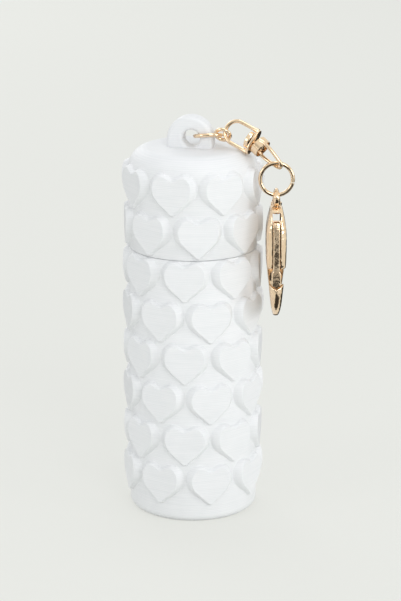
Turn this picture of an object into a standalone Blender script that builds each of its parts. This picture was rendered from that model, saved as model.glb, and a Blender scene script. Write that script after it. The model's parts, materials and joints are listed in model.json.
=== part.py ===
"""Lipstick case keychain: a printed case and cap with raised hearts, and its gold hardware.

Metres, +Z up. The origin is the middle of the case's flat base, and the viewer stands at -Y.
The cap carries a thick ring lug. From it hang two small links, a two-part swivel, a jump ring
and a lobster clasp, all in the places that they have when the case stands upright.
"""
import math

import bmesh
import bpy
from mathutils import Matrix, Vector

# Case and cap, turned about Z
CASE_RADIUS = 0.0160
SEAM_HEIGHT = 0.0681
SEAM_GAP = 0.0003
CAP_HEIGHT = 0.0252
CAP_TOP = SEAM_HEIGHT + CAP_HEIGHT
BASE_ROUNDING = 0.00185
CAP_ROUNDING = 0.0050
FLOOR_THICKNESS = 0.0024
ROOF_THICKNESS = 0.0026
SKIRT_THICKNESS = 0.00175
NECK_CLEARANCE = 0.00025
NECK_RADIUS = CASE_RADIUS - SKIRT_THICKNESS - NECK_CLEARANCE
NECK_THICKNESS = 0.0018
BORE_RADIUS = NECK_RADIUS - NECK_THICKNESS
NECK_HEIGHT = 0.0090
NECK_LEAD_IN = 0.0006
TURN_STEPS = 72
BASE_ARC_STEPS = 3
CAP_ARC_STEPS = 7

# Raised hearts in staggered rows, counted from the seam down the case and up the cap
HEARTS_PER_ROW = 8
HEART_GAP = 0.0030
HEART_WIDTH = 2 * math.pi * CASE_RADIUS / HEARTS_PER_ROW - HEART_GAP
HEART_HEIGHT = 0.0095
HEART_RELIEF = 0.00102
HEART_FACE_RADIUS = CASE_RADIUS + HEART_RELIEF
HEART_ROOT_SUNK = 0.0017
HEART_ROOT_RADIUS = CASE_RADIUS - HEART_ROOT_SUNK
HEART_SIDE_RUN = 0.0016
ROW_GAP = 0.0011
ROW_PITCH = HEART_HEIGHT + ROW_GAP
CASE_ROW_DROP = 0.00444
CASE_HEART_TURN = -7.36
CAP_ROW_RISE = 0.00658
CAP_HEART_TURN = 4.22
SEAM_MARGIN = 0.00005
TRIM_DEPTH = 0.0080

# Ring lug on the cap
LUG_RADIUS = 0.00575
LUG_THICKNESS = 0.0047
LUG_ROUNDING = 0.0009
LUG_ROUNDING_STEPS = 3
LUG_HEIGHT = 0.0020
LUG_INSET = 0.0165
LUG_SIDE = CASE_RADIUS - LUG_INSET
LUG_SUNK = 0.0016
LUG_TURN = 12.5
LUG_HOLE_RADIUS = 0.00215
LUG_HOLE_SIDE = 0.0004
LUG_HOLE_RISE = 0.0003
LUG_STEPS = 40

# Wires of the gold hardware
LINK_1_WIRE = 0.0005
LINK_1_RADIUS = 0.00335
LINK_1_PULL = 0.00027
LINK_1_LIFT = 0.0005
LINK_1_ANGLES = (-12.5, -5.4, 12.5)
LINK_2_WIRE = 0.00045
LINK_2_HALF_LENGTH = 0.001875
LINK_2_HALF_WIDTH = 0.00175
LINK_2_OFFSET = (0.000758, 0.000357, 0.000561)
LINK_2_ANGLES = (-32.8, -19.6, -34.0)
LINK_STEPS = 36

# Front half of the swivel: a D-shaped loop on an oval plate
FRONT_WIRE = 0.00048
FRONT_ANGLES = (-27.5, 22.3, 23.5)
FRONT_OFFSET = (0.006491, 0.000984, -0.000379)
FRONT_LOOP_LENGTH = 0.00784
FRONT_LOOP_HALF_WIDTH = 0.00286
FRONT_PLATE_HALF_LENGTH = 0.00335
FRONT_PLATE_HALF_DEPTH = 0.0017
FRONT_PLATE_THICKNESS = 0.0007
LOOP_ARC_STEPS = 12

# Rivet of the swivel
RIVET_COLLAR_RADIUS = 0.0021
RIVET_COLLAR_LENGTH = 0.00115
RIVET_NECK_RADIUS = 0.0005
RIVET_HEAD_RADIUS = 0.00095
RIVET_HEAD_LENGTH = 0.0006
RIVET_GAP = 0.00015

# Rear half of the swivel: a tapering loop on a disc, which leans on the rivet
REAR_LEAN_ANGLES = (-34.2, 34.8, -27.0)
REAR_DISC_RADIUS = 0.0023
REAR_DISC_THICKNESS = 0.0008
REAR_DISC_DISTANCE = 0.0015
REAR_HOLE_RADIUS = 0.00075
REAR_LOOP_LENGTH = 0.00795
REAR_LOOP_FOOT_HALF_WIDTH = 0.00185
REAR_LOOP_HALF_WIDTH = 0.00235
REAR_LOOP_NECK_HALF_WIDTH = 0.0016
REAR_LOOP_END_RADIUS = 0.0013
REAR_WIRE = 0.00045
REAR_WIRE_FOOT = 0.0006
REAR_END_STEPS = 6

# Jump ring
RING_RADIUS = 0.0040
RING_WIRE = 0.0005
RING_HANG = (-0.00098, 0.00099, -0.00338)
RING_CUT_ANGLE = -12.0
RING_CUT_GAP = 0.00025
RING_STEPS = 48

# Swivel eye of the clasp
EYE_RADIUS = 0.00175
EYE_DROP = 0.00047
EYE_WIRE_TOP = 0.00045
EYE_WIRE_SIDE = 0.00085
EYE_WIRE_FOOT = 0.0010
EYE_FOOT_HALF_WIDTH = 0.0008
EYE_BASE_RADIUS = 0.00135
EYE_BASE_THICKNESS = 0.0009
EYE_BASE_DROP = 0.0026
EYE_STEM_RADIUS = 0.0006
EYE_HEAD_RADIUS = 0.00102
EYE_HEAD_THICKNESS = 0.0005
EYE_GAP = 0.0003

# Clasp body, in its own plane: breadth toward the gate, and depth below its top
CLASP_HALF_BREADTH = 0.0065
CLASP_LENGTH = 0.0275
CLASP_HALF_THICKNESS = 0.00250
CLASP_TOP_GAP = 0.0003
CLASP_BRIDGE = 0.0009
CLASP_SLOT_WIDTH = 0.0022
CLASP_WINDOW_BOTTOM = 0.0046
CLASP_SLOT_BACK = 0.0008
CLASP_SLOT_RUNOUT = 0.000695
CLASP_STEM_HOLE = 0.00075
CLASP_ROUNDING = 0.00045

# Lever, its pin and its spring
LEVER_THICKNESS = 0.0017
PIN_RADIUS = 0.00045
PIN_CLEARANCE = 0.0001
PIN_SHORTER = 0.0001
SPRING_WIRE = 0.00013
SPRING_RADIUS = 0.00085
SPRING_PITCH = 0.0003
SPRING_TURNS = 2.25
SPRING_STEPS = 12
SPRING_NOTCH_RADIUS = 0.0013

CUT_OVERRUN = 0.0100
WELD = 0.000001
SMALL_STEPS = 24

# Shares of half of HEART_WIDTH and of HEART_HEIGHT, up the right half from the point
HEART_OUTLINE_SHARES = (
    (0.11, 0.03), (0.25, 0.11), (0.47, 0.21), (0.69, 0.32), (0.88, 0.44), (0.97, 0.56),
    (1.0, 0.68), (0.97, 0.80), (0.87, 0.90), (0.73, 0.97), (0.56, 1.0), (0.37, 0.975),
    (0.19, 0.92))
HEART_NOTCH_SHARE = 0.88
HEART_MIDDLE_SHARE = 0.6

# Shares of CLASP_HALF_BREADTH and CLASP_LENGTH, round the body from its top
CLASP_OUTLINE_SHARES = (
    (0.37, 0.0), (0.62, 0.058), (0.75, 0.18), (0.83, 0.345), (0.846, 0.495), (0.80, 0.538),
    (0.37, 0.542), (-0.09, 0.567), (-0.32, 0.669), (-0.29, 0.771), (-0.05, 0.847), (0.29, 0.858),
    (0.57, 0.807), (0.677, 0.749), (0.66, 0.709), (0.954, 0.702), (0.985, 0.778), (0.877, 0.88),
    (0.60, 0.96), (0.185, 1.0), (-0.185, 1.0), (-0.60, 0.953), (-0.877, 0.851), (-0.969, 0.72),
    (-0.908, 0.564), (-0.80, 0.382), (-0.708, 0.218), (-0.60, 0.08), (-0.37, 0.0))

# Depth at which the side walls end
CLASP_WALL_END_SHARE = 0.542

# Shares of CLASP_HALF_THICKNESS and CLASP_LENGTH, down one side of the edge view
CLASP_PROFILE_SHARES = (
    (0.59, 0.0), (0.70, 0.055), (0.92, 0.155), (1.0, 0.255), (0.97, 0.465), (0.86, 0.582),
    (0.66, 0.745), (0.55, 0.85), (0.40, 0.935), (0.24, 1.0))

# Shares of CLASP_HALF_BREADTH and CLASP_LENGTH, round the lever from the top of its thumb arm
LEVER_OUTLINE_SHARES = (
    (0.477, 0.113), (0.654, 0.113), (0.746, 0.189), (0.815, 0.345), (0.838, 0.48),
    (0.885, 0.582), (0.923, 0.672), (0.669, 0.68), (0.631, 0.611), (0.569, 0.567),
    (0.49, 0.545), (0.292, 0.509), (0.246, 0.458), (0.308, 0.407), (0.462, 0.356), (0.523, 0.255))
LEVER_PIN_SHARES = (0.476923, 0.458182)


def start_scene():
    """Empty the scene, then add one collection for the parts and one for the cutters."""
    for item in list(bpy.data.objects):
        bpy.data.objects.remove(item, do_unlink=True)
    found = []
    for name in ("lipstick_case_keychain", "cutters"):
        collection = bpy.data.collections.new(name)
        bpy.context.scene.collection.children.link(collection)
        found.append(collection)
    return found


PARTS, CUTTERS = start_scene()


def make_material(name, colour, metallic, roughness):
    """Return a Principled material of one colour."""
    material = bpy.data.materials.new(name)
    material.use_nodes = True
    shader = material.node_tree.nodes["Principled BSDF"]
    shader.inputs["Base Color"].default_value = (*colour, 1.0)
    shader.inputs["Metallic"].default_value = metallic
    shader.inputs["Roughness"].default_value = roughness
    material.diffuse_color = (*colour, 1.0)
    return material


WHITE_PRINT = make_material("white_print", (0.86, 0.86, 0.84), 0.0, 0.55)
PALE_GOLD = make_material("pale_gold", (0.93, 0.68, 0.43), 1.0, 0.16)


def add_object(name, data, material=None, frame=None):
    """Link an object that holds the data: a part if it has a material, a cutter if not."""
    item = bpy.data.objects.new(name, data)
    if material is None:
        CUTTERS.objects.link(item)
        item.hide_render = True
        item.display_type = "WIRE"
    else:
        PARTS.objects.link(item)
        data.materials.append(material)
    if frame is not None:
        item.matrix_world = frame
    return item


def smooth(mesh):
    """Shade a mesh smooth, with its sharp edges kept."""
    mesh.shade_smooth()
    mesh.set_sharp_from_angle(angle=math.radians(32))


def frame_at(place, angles=(0.0, 0.0, 0.0)):
    """Return a matrix whose X points along an azimuth and down a dip, and whose Y is rolled.

    With no roll, Y points up and Z is level.
    """
    azimuth, dip, roll = (math.radians(value) for value in angles)
    along = Vector((math.cos(dip) * math.cos(azimuth), math.cos(dip) * math.sin(azimuth),
                    -math.sin(dip)))
    level = Vector((-math.sin(azimuth), math.cos(azimuth), 0.0))
    raised = along.cross(level)
    across = raised * math.cos(roll) + level * math.sin(roll)
    facing = along.cross(across)
    turned = Matrix((along, across, facing)).transposed().to_4x4()
    return Matrix.Translation(place) @ turned


def upright(place, turn=0.0):
    """Return a frame with Z up, turned about Z."""
    return Matrix.Translation(place) @ Matrix.Rotation(math.radians(turn), 4, "Z")


def wire_curve(name, points, radius, closed=False, radii=None, resolution=2):
    """Return curve data for a round wire through the points, with filled ends if open."""
    curve = bpy.data.curves.new(name, "CURVE")
    curve.dimensions = "3D"
    spline = curve.splines.new("POLY")
    spline.points.add(len(points) - 1)
    for index, place in enumerate(points):
        spline.points[index].co = (*place, 1.0)
        spline.points[index].radius = radii[index] / radius if radii else 1.0
    spline.use_cyclic_u = closed
    spline.use_smooth = True
    curve.bevel_depth = radius
    curve.bevel_resolution = resolution
    curve.use_fill_caps = not closed
    return curve


def curve_mesh(curve, name):
    """Return a closed mesh of a curve, with its caps welded, and remove the curve."""
    carrier = add_object(name + "_curve", curve)
    bpy.context.view_layer.update()
    graph = bpy.context.evaluated_depsgraph_get()
    mesh = bpy.data.meshes.new_from_object(carrier.evaluated_get(graph))
    mesh.name = name
    mesh.materials.clear()
    work = bmesh.new()
    work.from_mesh(mesh)
    bmesh.ops.remove_doubles(work, verts=work.verts, dist=WELD)
    bmesh.ops.recalc_face_normals(work, faces=work.faces)
    work.to_mesh(mesh)
    work.free()
    bpy.data.objects.remove(carrier, do_unlink=True)
    return mesh


def flat_mesh(name, outline, thickness):
    """Return a closed mesh of a flat outline, centred on its own plane, with one face a side."""
    curve = bpy.data.curves.new(name, "CURVE")
    curve.dimensions = "2D"
    curve.fill_mode = "BOTH"
    curve.extrude = thickness / 2
    spline = curve.splines.new("POLY")
    spline.points.add(len(outline) - 1)
    for index, (across, along) in enumerate(outline):
        spline.points[index].co = (across, along, 0.0, 1.0)
    spline.use_cyclic_u = True
    mesh = curve_mesh(curve, name)
    work = bmesh.new()
    work.from_mesh(mesh)
    bmesh.ops.dissolve_limit(work, angle_limit=math.radians(1), verts=work.verts, edges=work.edges)
    work.to_mesh(mesh)
    work.free()
    return mesh


def round_edges(item, width, segments, angle):
    """Bevel the edges of an object that turn by more than an angle in degrees."""
    bevel = item.modifiers.new("Rounded edges", "BEVEL")
    bevel.width = width
    bevel.segments = segments
    bevel.limit_method = "ANGLE"
    bevel.angle_limit = math.radians(angle)
    bevel.use_clamp_overlap = False
    return settle(item)


def cylinder(name, radius, length, steps=SMALL_STEPS, material=None, frame=None, wide=1.0):
    """Add a capped cylinder along its own Z, centred, and stretched along Y by a factor."""
    mesh = bpy.data.meshes.new(name)
    work = bmesh.new()
    bmesh.ops.create_cone(work, cap_ends=True, segments=steps, radius1=radius, radius2=radius,
                          depth=length)
    bmesh.ops.scale(work, vec=(1.0, wide, 1.0), verts=work.verts)
    work.to_mesh(mesh)
    work.free()
    return add_object(name, mesh, material, frame)


def block(name, size, centre, frame=None):
    """Add a box cutter of a size about a centre in the given frame."""
    mesh = bpy.data.meshes.new(name)
    work = bmesh.new()
    bmesh.ops.create_cube(work, size=1.0)
    bmesh.ops.scale(work, vec=size, verts=work.verts)
    bmesh.ops.translate(work, vec=centre, verts=work.verts)
    work.to_mesh(mesh)
    work.free()
    return add_object(name, mesh, None, frame)


def turned_mesh(name, profile, steps):
    """Return a solid turned from a profile that runs down its outer side, from axis to axis."""
    mesh = bpy.data.meshes.new(name + "_profile")
    edges = [(index, index + 1) for index in range(len(profile) - 1)]
    mesh.from_pydata([(radius, 0.0, height) for radius, height in profile], edges, [])
    carrier = add_object(name + "_turning", mesh)
    screw = carrier.modifiers.new("Turn", "SCREW")
    screw.axis = "Z"
    screw.steps = steps
    screw.render_steps = steps
    screw.use_merge_vertices = True
    screw.merge_threshold = WELD
    bpy.context.view_layer.update()
    graph = bpy.context.evaluated_depsgraph_get()
    turned = bpy.data.meshes.new_from_object(carrier.evaluated_get(graph))
    turned.name = name
    bpy.data.objects.remove(carrier, do_unlink=True)
    return turned


def combine(target, other, operation):
    """Add an exact Boolean of another object to the target."""
    boolean = target.modifiers.new(operation.title() + " " + other.name, "BOOLEAN")
    boolean.operation = operation
    boolean.solver = "EXACT"
    boolean.object = other


def settle(item):
    """Apply an object's modifiers, so that later ones start from its finished mesh."""
    bpy.context.view_layer.update()
    graph = bpy.context.evaluated_depsgraph_get()
    mesh = bpy.data.meshes.new_from_object(item.evaluated_get(graph))
    item.modifiers.clear()
    item.data = mesh
    return item


def arc(centre, radius, start, end, steps):
    """Return points of an arc, both ends included, with its angles in degrees."""
    points = []
    for step in range(steps + 1):
        angle = math.radians(start + (end - start) * step / steps)
        points.append((centre[0] + radius * math.cos(angle), centre[1] + radius * math.sin(angle)))
    return points


def heart_outline():
    """Return a heart round the middle that its sides spread from."""
    right = [(across * HEART_WIDTH / 2, (rise - HEART_MIDDLE_SHARE) * HEART_HEIGHT)
             for across, rise in HEART_OUTLINE_SHARES]
    left = [(-across, rise) for across, rise in reversed(right)]
    point = (0.0, -HEART_MIDDLE_SHARE * HEART_HEIGHT)
    notch = (0.0, (HEART_NOTCH_SHARE - HEART_MIDDLE_SHARE) * HEART_HEIGHT)
    return [point] + right + [notch] + left


def add_heart(work, turn, height):
    """Add one heart to a bmesh: a flat face and sides that spread to its root in the wall."""
    spread = 1.0 + 2 * HEART_SIDE_RUN / HEART_WIDTH
    placed = Matrix.Rotation(math.radians(turn), 4, "Z") @ Matrix.Translation((0.0, 0.0, height))
    rings = []
    for depth, scale in ((HEART_FACE_RADIUS, 1.0), (HEART_ROOT_RADIUS, spread)):
        rings.append([work.verts.new(placed @ Vector((across * scale, -depth, rise * scale)))
                      for across, rise in heart_outline()])
    face, root = rings
    count = len(face)
    work.faces.new(face)
    work.faces.new(root[::-1])
    for index in range(count):
        following = (index + 1) % count
        work.faces.new((face[index], root[index], root[following], face[following]))


def case_row_heights():
    """Return the heights of the case's rows, from the seam down to the last one that fits."""
    first = SEAM_HEIGHT - CASE_ROW_DROP
    room = first - BASE_ROUNDING - HEART_MIDDLE_SHARE * HEART_HEIGHT - HEART_SIDE_RUN
    return [first - ROW_PITCH * row for row in range(1 + int(room / ROW_PITCH))]


def cap_row_heights():
    """Return the heights of the cap's rows, from the seam up to the last one that fits."""
    first = SEAM_HEIGHT + CAP_ROW_RISE
    room = CAP_TOP - CAP_ROUNDING / 2 - (1 - HEART_MIDDLE_SHARE) * HEART_HEIGHT - first
    return [first + ROW_PITCH * row for row in range(1 + int(room / ROW_PITCH))]


def heart_groups(name, heights, turn):
    """Return cutters that hold every other heart of every other row, so that none touch."""
    groups = []
    step = 360.0 / HEARTS_PER_ROW
    for row_start in range(2):
        for heart_start in range(2):
            work = bmesh.new()
            for row in range(row_start, len(heights), 2):
                for heart in range(heart_start, HEARTS_PER_ROW, 2):
                    stagger = step * (heart + (row % 2) / 2)
                    add_heart(work, turn + stagger, heights[row])
            bmesh.ops.recalc_face_normals(work, faces=work.faces)
            mesh = bpy.data.meshes.new(name)
            work.to_mesh(mesh)
            work.free()
            groups.append(add_object(f"{name}_{row_start}{heart_start}", mesh))
    return groups


def put_hearts(target, groups, trimmer):
    """Trim the hearts at the seam and join them to the wall."""
    for group in groups:
        combine(group, trimmer, "DIFFERENCE")
        settle(group)
        combine(target, group, "UNION")
        settle(target)
        bpy.data.objects.remove(group, do_unlink=True)
    bpy.data.objects.remove(trimmer, do_unlink=True)


def trim_slab(name, middle):
    """Return a slab wider than the case, which trims hearts at the seam."""
    size = (4 * CASE_RADIUS, 4 * CASE_RADIUS, TRIM_DEPTH)
    return block(name, size, (0.0, 0.0, middle))


def build_case():
    """Case with its floor, its bore for the lipstick and the neck that the cap slides over."""
    shoulder = SEAM_HEIGHT - SEAM_GAP / 2
    neck_top = shoulder + NECK_HEIGHT
    profile = [
        (0.0, FLOOR_THICKNESS), (BORE_RADIUS, FLOOR_THICKNESS),
        (BORE_RADIUS, neck_top), (NECK_RADIUS - NECK_LEAD_IN, neck_top),
        (NECK_RADIUS, neck_top - NECK_LEAD_IN), (NECK_RADIUS, shoulder), (CASE_RADIUS, shoulder)]
    profile += arc((CASE_RADIUS - BASE_ROUNDING, BASE_ROUNDING), BASE_ROUNDING, 0.0, -90.0,
                   BASE_ARC_STEPS)
    profile.append((0.0, 0.0))
    case = add_object("case_body", turned_mesh("case_body", profile, TURN_STEPS), WHITE_PRINT)
    trimmer = trim_slab("case_trim", shoulder - SEAM_MARGIN + TRIM_DEPTH / 2)
    hearts = heart_groups("case_hearts", case_row_heights(), CASE_HEART_TURN)
    put_hearts(case, hearts, trimmer)
    smooth(case.data)
    return case


def lug_frame():
    """Return the lug's frame: X across it, Y up and Z out of its front face."""
    return Matrix.Translation((0.0, 0.0, CAP_TOP)) @ Matrix.Rotation(
        math.radians(-LUG_TURN), 4, "Z") @ Matrix.Rotation(math.radians(90), 4, "X")


def lug_hole_centre():
    """Return the middle of the lug's hole."""
    return lug_frame() @ Vector((LUG_SIDE + LUG_HOLE_SIDE, LUG_HEIGHT + LUG_HOLE_RISE, 0.0))


def build_lug():
    """Thick ring with straight legs that run down into the cap's roof."""
    ring = arc((LUG_SIDE, LUG_HEIGHT), LUG_RADIUS, 0.0, 180.0, LUG_STEPS // 2)
    legs = [(LUG_SIDE - LUG_RADIUS, -LUG_SUNK), (LUG_SIDE + LUG_RADIUS, -LUG_SUNK)]
    lug = add_object("lug", flat_mesh("lug", ring + legs, LUG_THICKNESS), None, lug_frame())
    round_edges(lug, LUG_ROUNDING, LUG_ROUNDING_STEPS, 50)
    half = LUG_THICKNESS / 2
    mouth = LUG_HOLE_RADIUS + LUG_ROUNDING
    front = arc((mouth, half - LUG_ROUNDING + SEAM_MARGIN), LUG_ROUNDING, 90.0, 180.0,
                LUG_ROUNDING_STEPS)
    profile = [(0.0, half + CUT_OVERRUN), (mouth, half + CUT_OVERRUN)] + front
    profile += [(radius, -height) for radius, height in reversed(profile)]
    place = lug_frame() @ Matrix.Translation((LUG_SIDE + LUG_HOLE_SIDE,
                                              LUG_HEIGHT + LUG_HOLE_RISE, 0.0))
    hole = add_object("lug_hole", turned_mesh("lug_hole", profile, SMALL_STEPS), None, place)
    combine(lug, hole, "DIFFERENCE")
    settle(lug)
    bpy.data.objects.remove(hole, do_unlink=True)
    return lug


def build_cap():
    """Cap with its rounded top, its recess for the neck, two rows of hearts and the lug."""
    mouth = SEAM_HEIGHT + SEAM_GAP / 2
    recess = NECK_RADIUS + NECK_CLEARANCE
    recess_top = mouth + NECK_HEIGHT
    roof = CAP_TOP - ROOF_THICKNESS
    profile = [(0.0, CAP_TOP)]
    profile += arc((CASE_RADIUS - CAP_ROUNDING, CAP_TOP - CAP_ROUNDING), CAP_ROUNDING, 90.0, 0.0,
                   CAP_ARC_STEPS)
    profile += [
        (CASE_RADIUS, mouth), (recess, mouth), (recess, recess_top), (BORE_RADIUS, recess_top),
        (BORE_RADIUS, roof), (0.0, roof)]
    cap = add_object("cap", turned_mesh("cap", profile, TURN_STEPS), WHITE_PRINT)
    trimmer = trim_slab("cap_trim", mouth + SEAM_MARGIN - TRIM_DEPTH / 2)
    hearts = heart_groups("cap_hearts", cap_row_heights(), CAP_HEART_TURN)
    put_hearts(cap, hearts, trimmer)
    lug = build_lug()
    combine(cap, lug, "UNION")
    settle(cap)
    bpy.data.objects.remove(lug, do_unlink=True)
    smooth(cap.data)
    return cap


def oval_points(centre, half_length, half_width, steps=LINK_STEPS):
    """Return points of an oval in its frame's own X and Y."""
    points = []
    for step in range(steps):
        angle = 2 * math.pi * step / steps
        points.append((centre[0] + half_length * math.cos(angle),
                       centre[1] + half_width * math.sin(angle), centre[2]))
    return points


def build_link_1():
    """Round link through the lug's hole and round its right side."""
    half_section = (LUG_RADIUS - LUG_HOLE_SIDE - LUG_HOLE_RADIUS) / 2
    section_out = LUG_HOLE_RADIUS + half_section
    frame = frame_at(lug_hole_centre(), LINK_1_ANGLES)
    out = Matrix.Rotation(math.radians(-LUG_TURN), 4, "Z") @ Vector((section_out, 0.0, 0.0))
    lifted = out + Vector((0.0, 0.0, LINK_1_LIFT))
    centre = frame.to_3x3().inverted() @ lifted + Vector((LINK_1_PULL, 0.0, 0.0))
    points = [Matrix.Translation(centre) @ Vector((across, 0.0, depth)) for across, depth, _ in
              oval_points((0.0, 0.0, 0.0), LINK_1_RADIUS, LINK_1_RADIUS)]
    curve = wire_curve("chain_link_1", points, LINK_1_WIRE, closed=True)
    add_object("chain_link_1", curve, PALE_GOLD, frame)
    return frame @ (centre + Vector((LINK_1_RADIUS, 0.0, 0.0)))


def build_link_2(bend):
    """Oval link from the first link's bend to the swivel's front loop."""
    frame = frame_at(bend, LINK_2_ANGLES)
    points = oval_points(LINK_2_OFFSET, LINK_2_HALF_LENGTH, LINK_2_HALF_WIDTH)
    curve = wire_curve("chain_link_2", points, LINK_2_WIRE, closed=True)
    add_object("chain_link_2", curve, PALE_GOLD, frame)
    end = Vector(LINK_2_OFFSET) + Vector((LINK_2_HALF_LENGTH, 0.0, 0.0))
    return frame @ end


def build_swivel_front(bend):
    """D-shaped loop cast in one with the oval plate that the rivet goes through."""
    frame = frame_at(bend, FRONT_ANGLES)
    plate_frame = frame @ Matrix.Translation(FRONT_OFFSET)
    arc_start = FRONT_LOOP_LENGTH - FRONT_LOOP_HALF_WIDTH
    points = [(0.0, -FRONT_LOOP_HALF_WIDTH, 0.0)]
    for along, across in arc((-arc_start, 0.0), FRONT_LOOP_HALF_WIDTH, 270.0, 90.0,
                             LOOP_ARC_STEPS):
        points.append((along, across, 0.0))
    points.append((0.0, FRONT_LOOP_HALF_WIDTH, 0.0))
    placed = [Matrix.Translation(FRONT_OFFSET) @ Vector(point) for point in points]
    loop_mesh = curve_mesh(wire_curve("swivel_front_loop", placed, FRONT_WIRE), "swivel_front_loop")
    front = add_object("swivel_front_loop", loop_mesh, PALE_GOLD, frame)
    lying = plate_frame @ Matrix.Rotation(math.radians(90), 4, "Y")
    plate = cylinder("front_plate", FRONT_PLATE_HALF_DEPTH, FRONT_PLATE_THICKNESS, frame=lying,
                     wide=FRONT_PLATE_HALF_LENGTH / FRONT_PLATE_HALF_DEPTH)
    hole = cylinder("front_hole", RIVET_NECK_RADIUS + RIVET_GAP, CUT_OVERRUN, frame=lying)
    for other, operation in ((plate, "UNION"), (hole, "DIFFERENCE")):
        combine(front, other, operation)
        settle(front)
        bpy.data.objects.remove(other, do_unlink=True)
    smooth(front.data)
    return plate_frame


def build_rivet(plate_frame):
    """Rivet with its collar before the plate and its head inside the rear loop."""
    plate_face = FRONT_PLATE_THICKNESS / 2 + RIVET_GAP
    lean = math.sin(leaning_frame(plate_frame).col[0].to_3d().angle(plate_frame.col[0].to_3d()))
    head_start = (REAR_DISC_DISTANCE + REAR_DISC_THICKNESS / 2 + 2 * RIVET_GAP
                  + RIVET_HEAD_RADIUS * lean)
    profile = [
        (0.0, plate_face + RIVET_COLLAR_LENGTH),
        (RIVET_COLLAR_RADIUS, plate_face + RIVET_COLLAR_LENGTH),
        (RIVET_COLLAR_RADIUS, plate_face), (RIVET_NECK_RADIUS, plate_face),
        (RIVET_NECK_RADIUS, -head_start), (RIVET_HEAD_RADIUS, -head_start),
        (RIVET_HEAD_RADIUS, -head_start - RIVET_HEAD_LENGTH), (0.0, -head_start - RIVET_HEAD_LENGTH)]
    backward = plate_frame @ Matrix.Rotation(math.radians(-90), 4, "Y")
    mesh = turned_mesh("swivel_rivet", profile, SMALL_STEPS)
    rivet = add_object("swivel_rivet", mesh, PALE_GOLD, backward)
    smooth(rivet.data)


def leaning_frame(plate_frame):
    """Return the rear half's frame at the middle of its disc."""
    middle = plate_frame @ Vector((REAR_DISC_DISTANCE, 0.0, 0.0))
    return frame_at(middle, REAR_LEAN_ANGLES)


def build_swivel_rear(plate_frame):
    """Disc on the rivet, and the tapering loop that holds the jump ring."""
    frame = leaning_frame(plate_frame)
    end_start = REAR_LOOP_LENGTH - REAR_LOOP_END_RADIUS
    side = [(0.0, REAR_LOOP_FOOT_HALF_WIDTH, REAR_WIRE_FOOT),
            (REAR_LOOP_LENGTH / 5, REAR_LOOP_HALF_WIDTH, (REAR_WIRE + REAR_WIRE_FOOT) / 2),
            (REAR_LOOP_LENGTH * 2 / 5, REAR_LOOP_HALF_WIDTH, REAR_WIRE),
            (REAR_LOOP_LENGTH * 3 / 5, (REAR_LOOP_HALF_WIDTH + REAR_LOOP_NECK_HALF_WIDTH) / 2,
             REAR_WIRE),
            (end_start - REAR_LOOP_END_RADIUS / 2, REAR_LOOP_NECK_HALF_WIDTH, REAR_WIRE)]
    other = [(along, -across, wire) for along, across, wire in reversed(side)]
    bend = [(along, across, REAR_WIRE) for along, across in
            arc((end_start, 0.0), REAR_LOOP_END_RADIUS, 70.0, -70.0, REAR_END_STEPS)]
    route = side + bend + other
    points = [(along, across, 0.0) for along, across, _ in route]
    radii = [wire for _, _, wire in route]
    curve = wire_curve("swivel_rear_loop", points, REAR_WIRE, radii=radii)
    rear = add_object("swivel_rear_loop", curve_mesh(curve, "swivel_rear_loop"), PALE_GOLD, frame)
    lying = frame @ Matrix.Rotation(math.radians(90), 4, "Y")
    disc = cylinder("rear_disc", REAR_DISC_RADIUS, REAR_DISC_THICKNESS, frame=lying)
    under = block("rear_trim", (REAR_LOOP_LENGTH, CUT_OVERRUN, CUT_OVERRUN),
                  ((-REAR_LOOP_LENGTH - REAR_DISC_THICKNESS / 2) / 2 + SEAM_MARGIN, 0.0, 0.0), frame)
    under.location = frame @ Vector((-REAR_DISC_THICKNESS / 4, 0.0, 0.0))
    hole = cylinder("rear_hole", REAR_HOLE_RADIUS, 3 * REAR_DISC_THICKNESS, frame=lying)
    for piece, operation in ((under, "DIFFERENCE"), (disc, "UNION"), (hole, "DIFFERENCE")):
        combine(rear, piece, operation)
        settle(rear)
        bpy.data.objects.remove(piece, do_unlink=True)
    smooth(rear.data)
    return frame @ Vector((REAR_LOOP_LENGTH, 0.0, 0.0))


def build_jump_ring(bend):
    """Cut ring that hangs from the rear loop and faces the viewer."""
    centre = Vector(RING_HANG)
    half_cut = math.degrees(RING_CUT_GAP / 2 / RING_RADIUS)
    circle = arc((0.0, 0.0), RING_RADIUS, RING_CUT_ANGLE + half_cut,
                 RING_CUT_ANGLE + 360.0 - half_cut, RING_STEPS)
    points = [centre + Vector((across, 0.0, height)) for across, height in circle]
    curve = wire_curve("jump_ring", points, RING_WIRE)
    add_object("jump_ring", curve, PALE_GOLD, upright(bend))
    return bend + centre - Vector((0.0, 0.0, RING_RADIUS))


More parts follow.
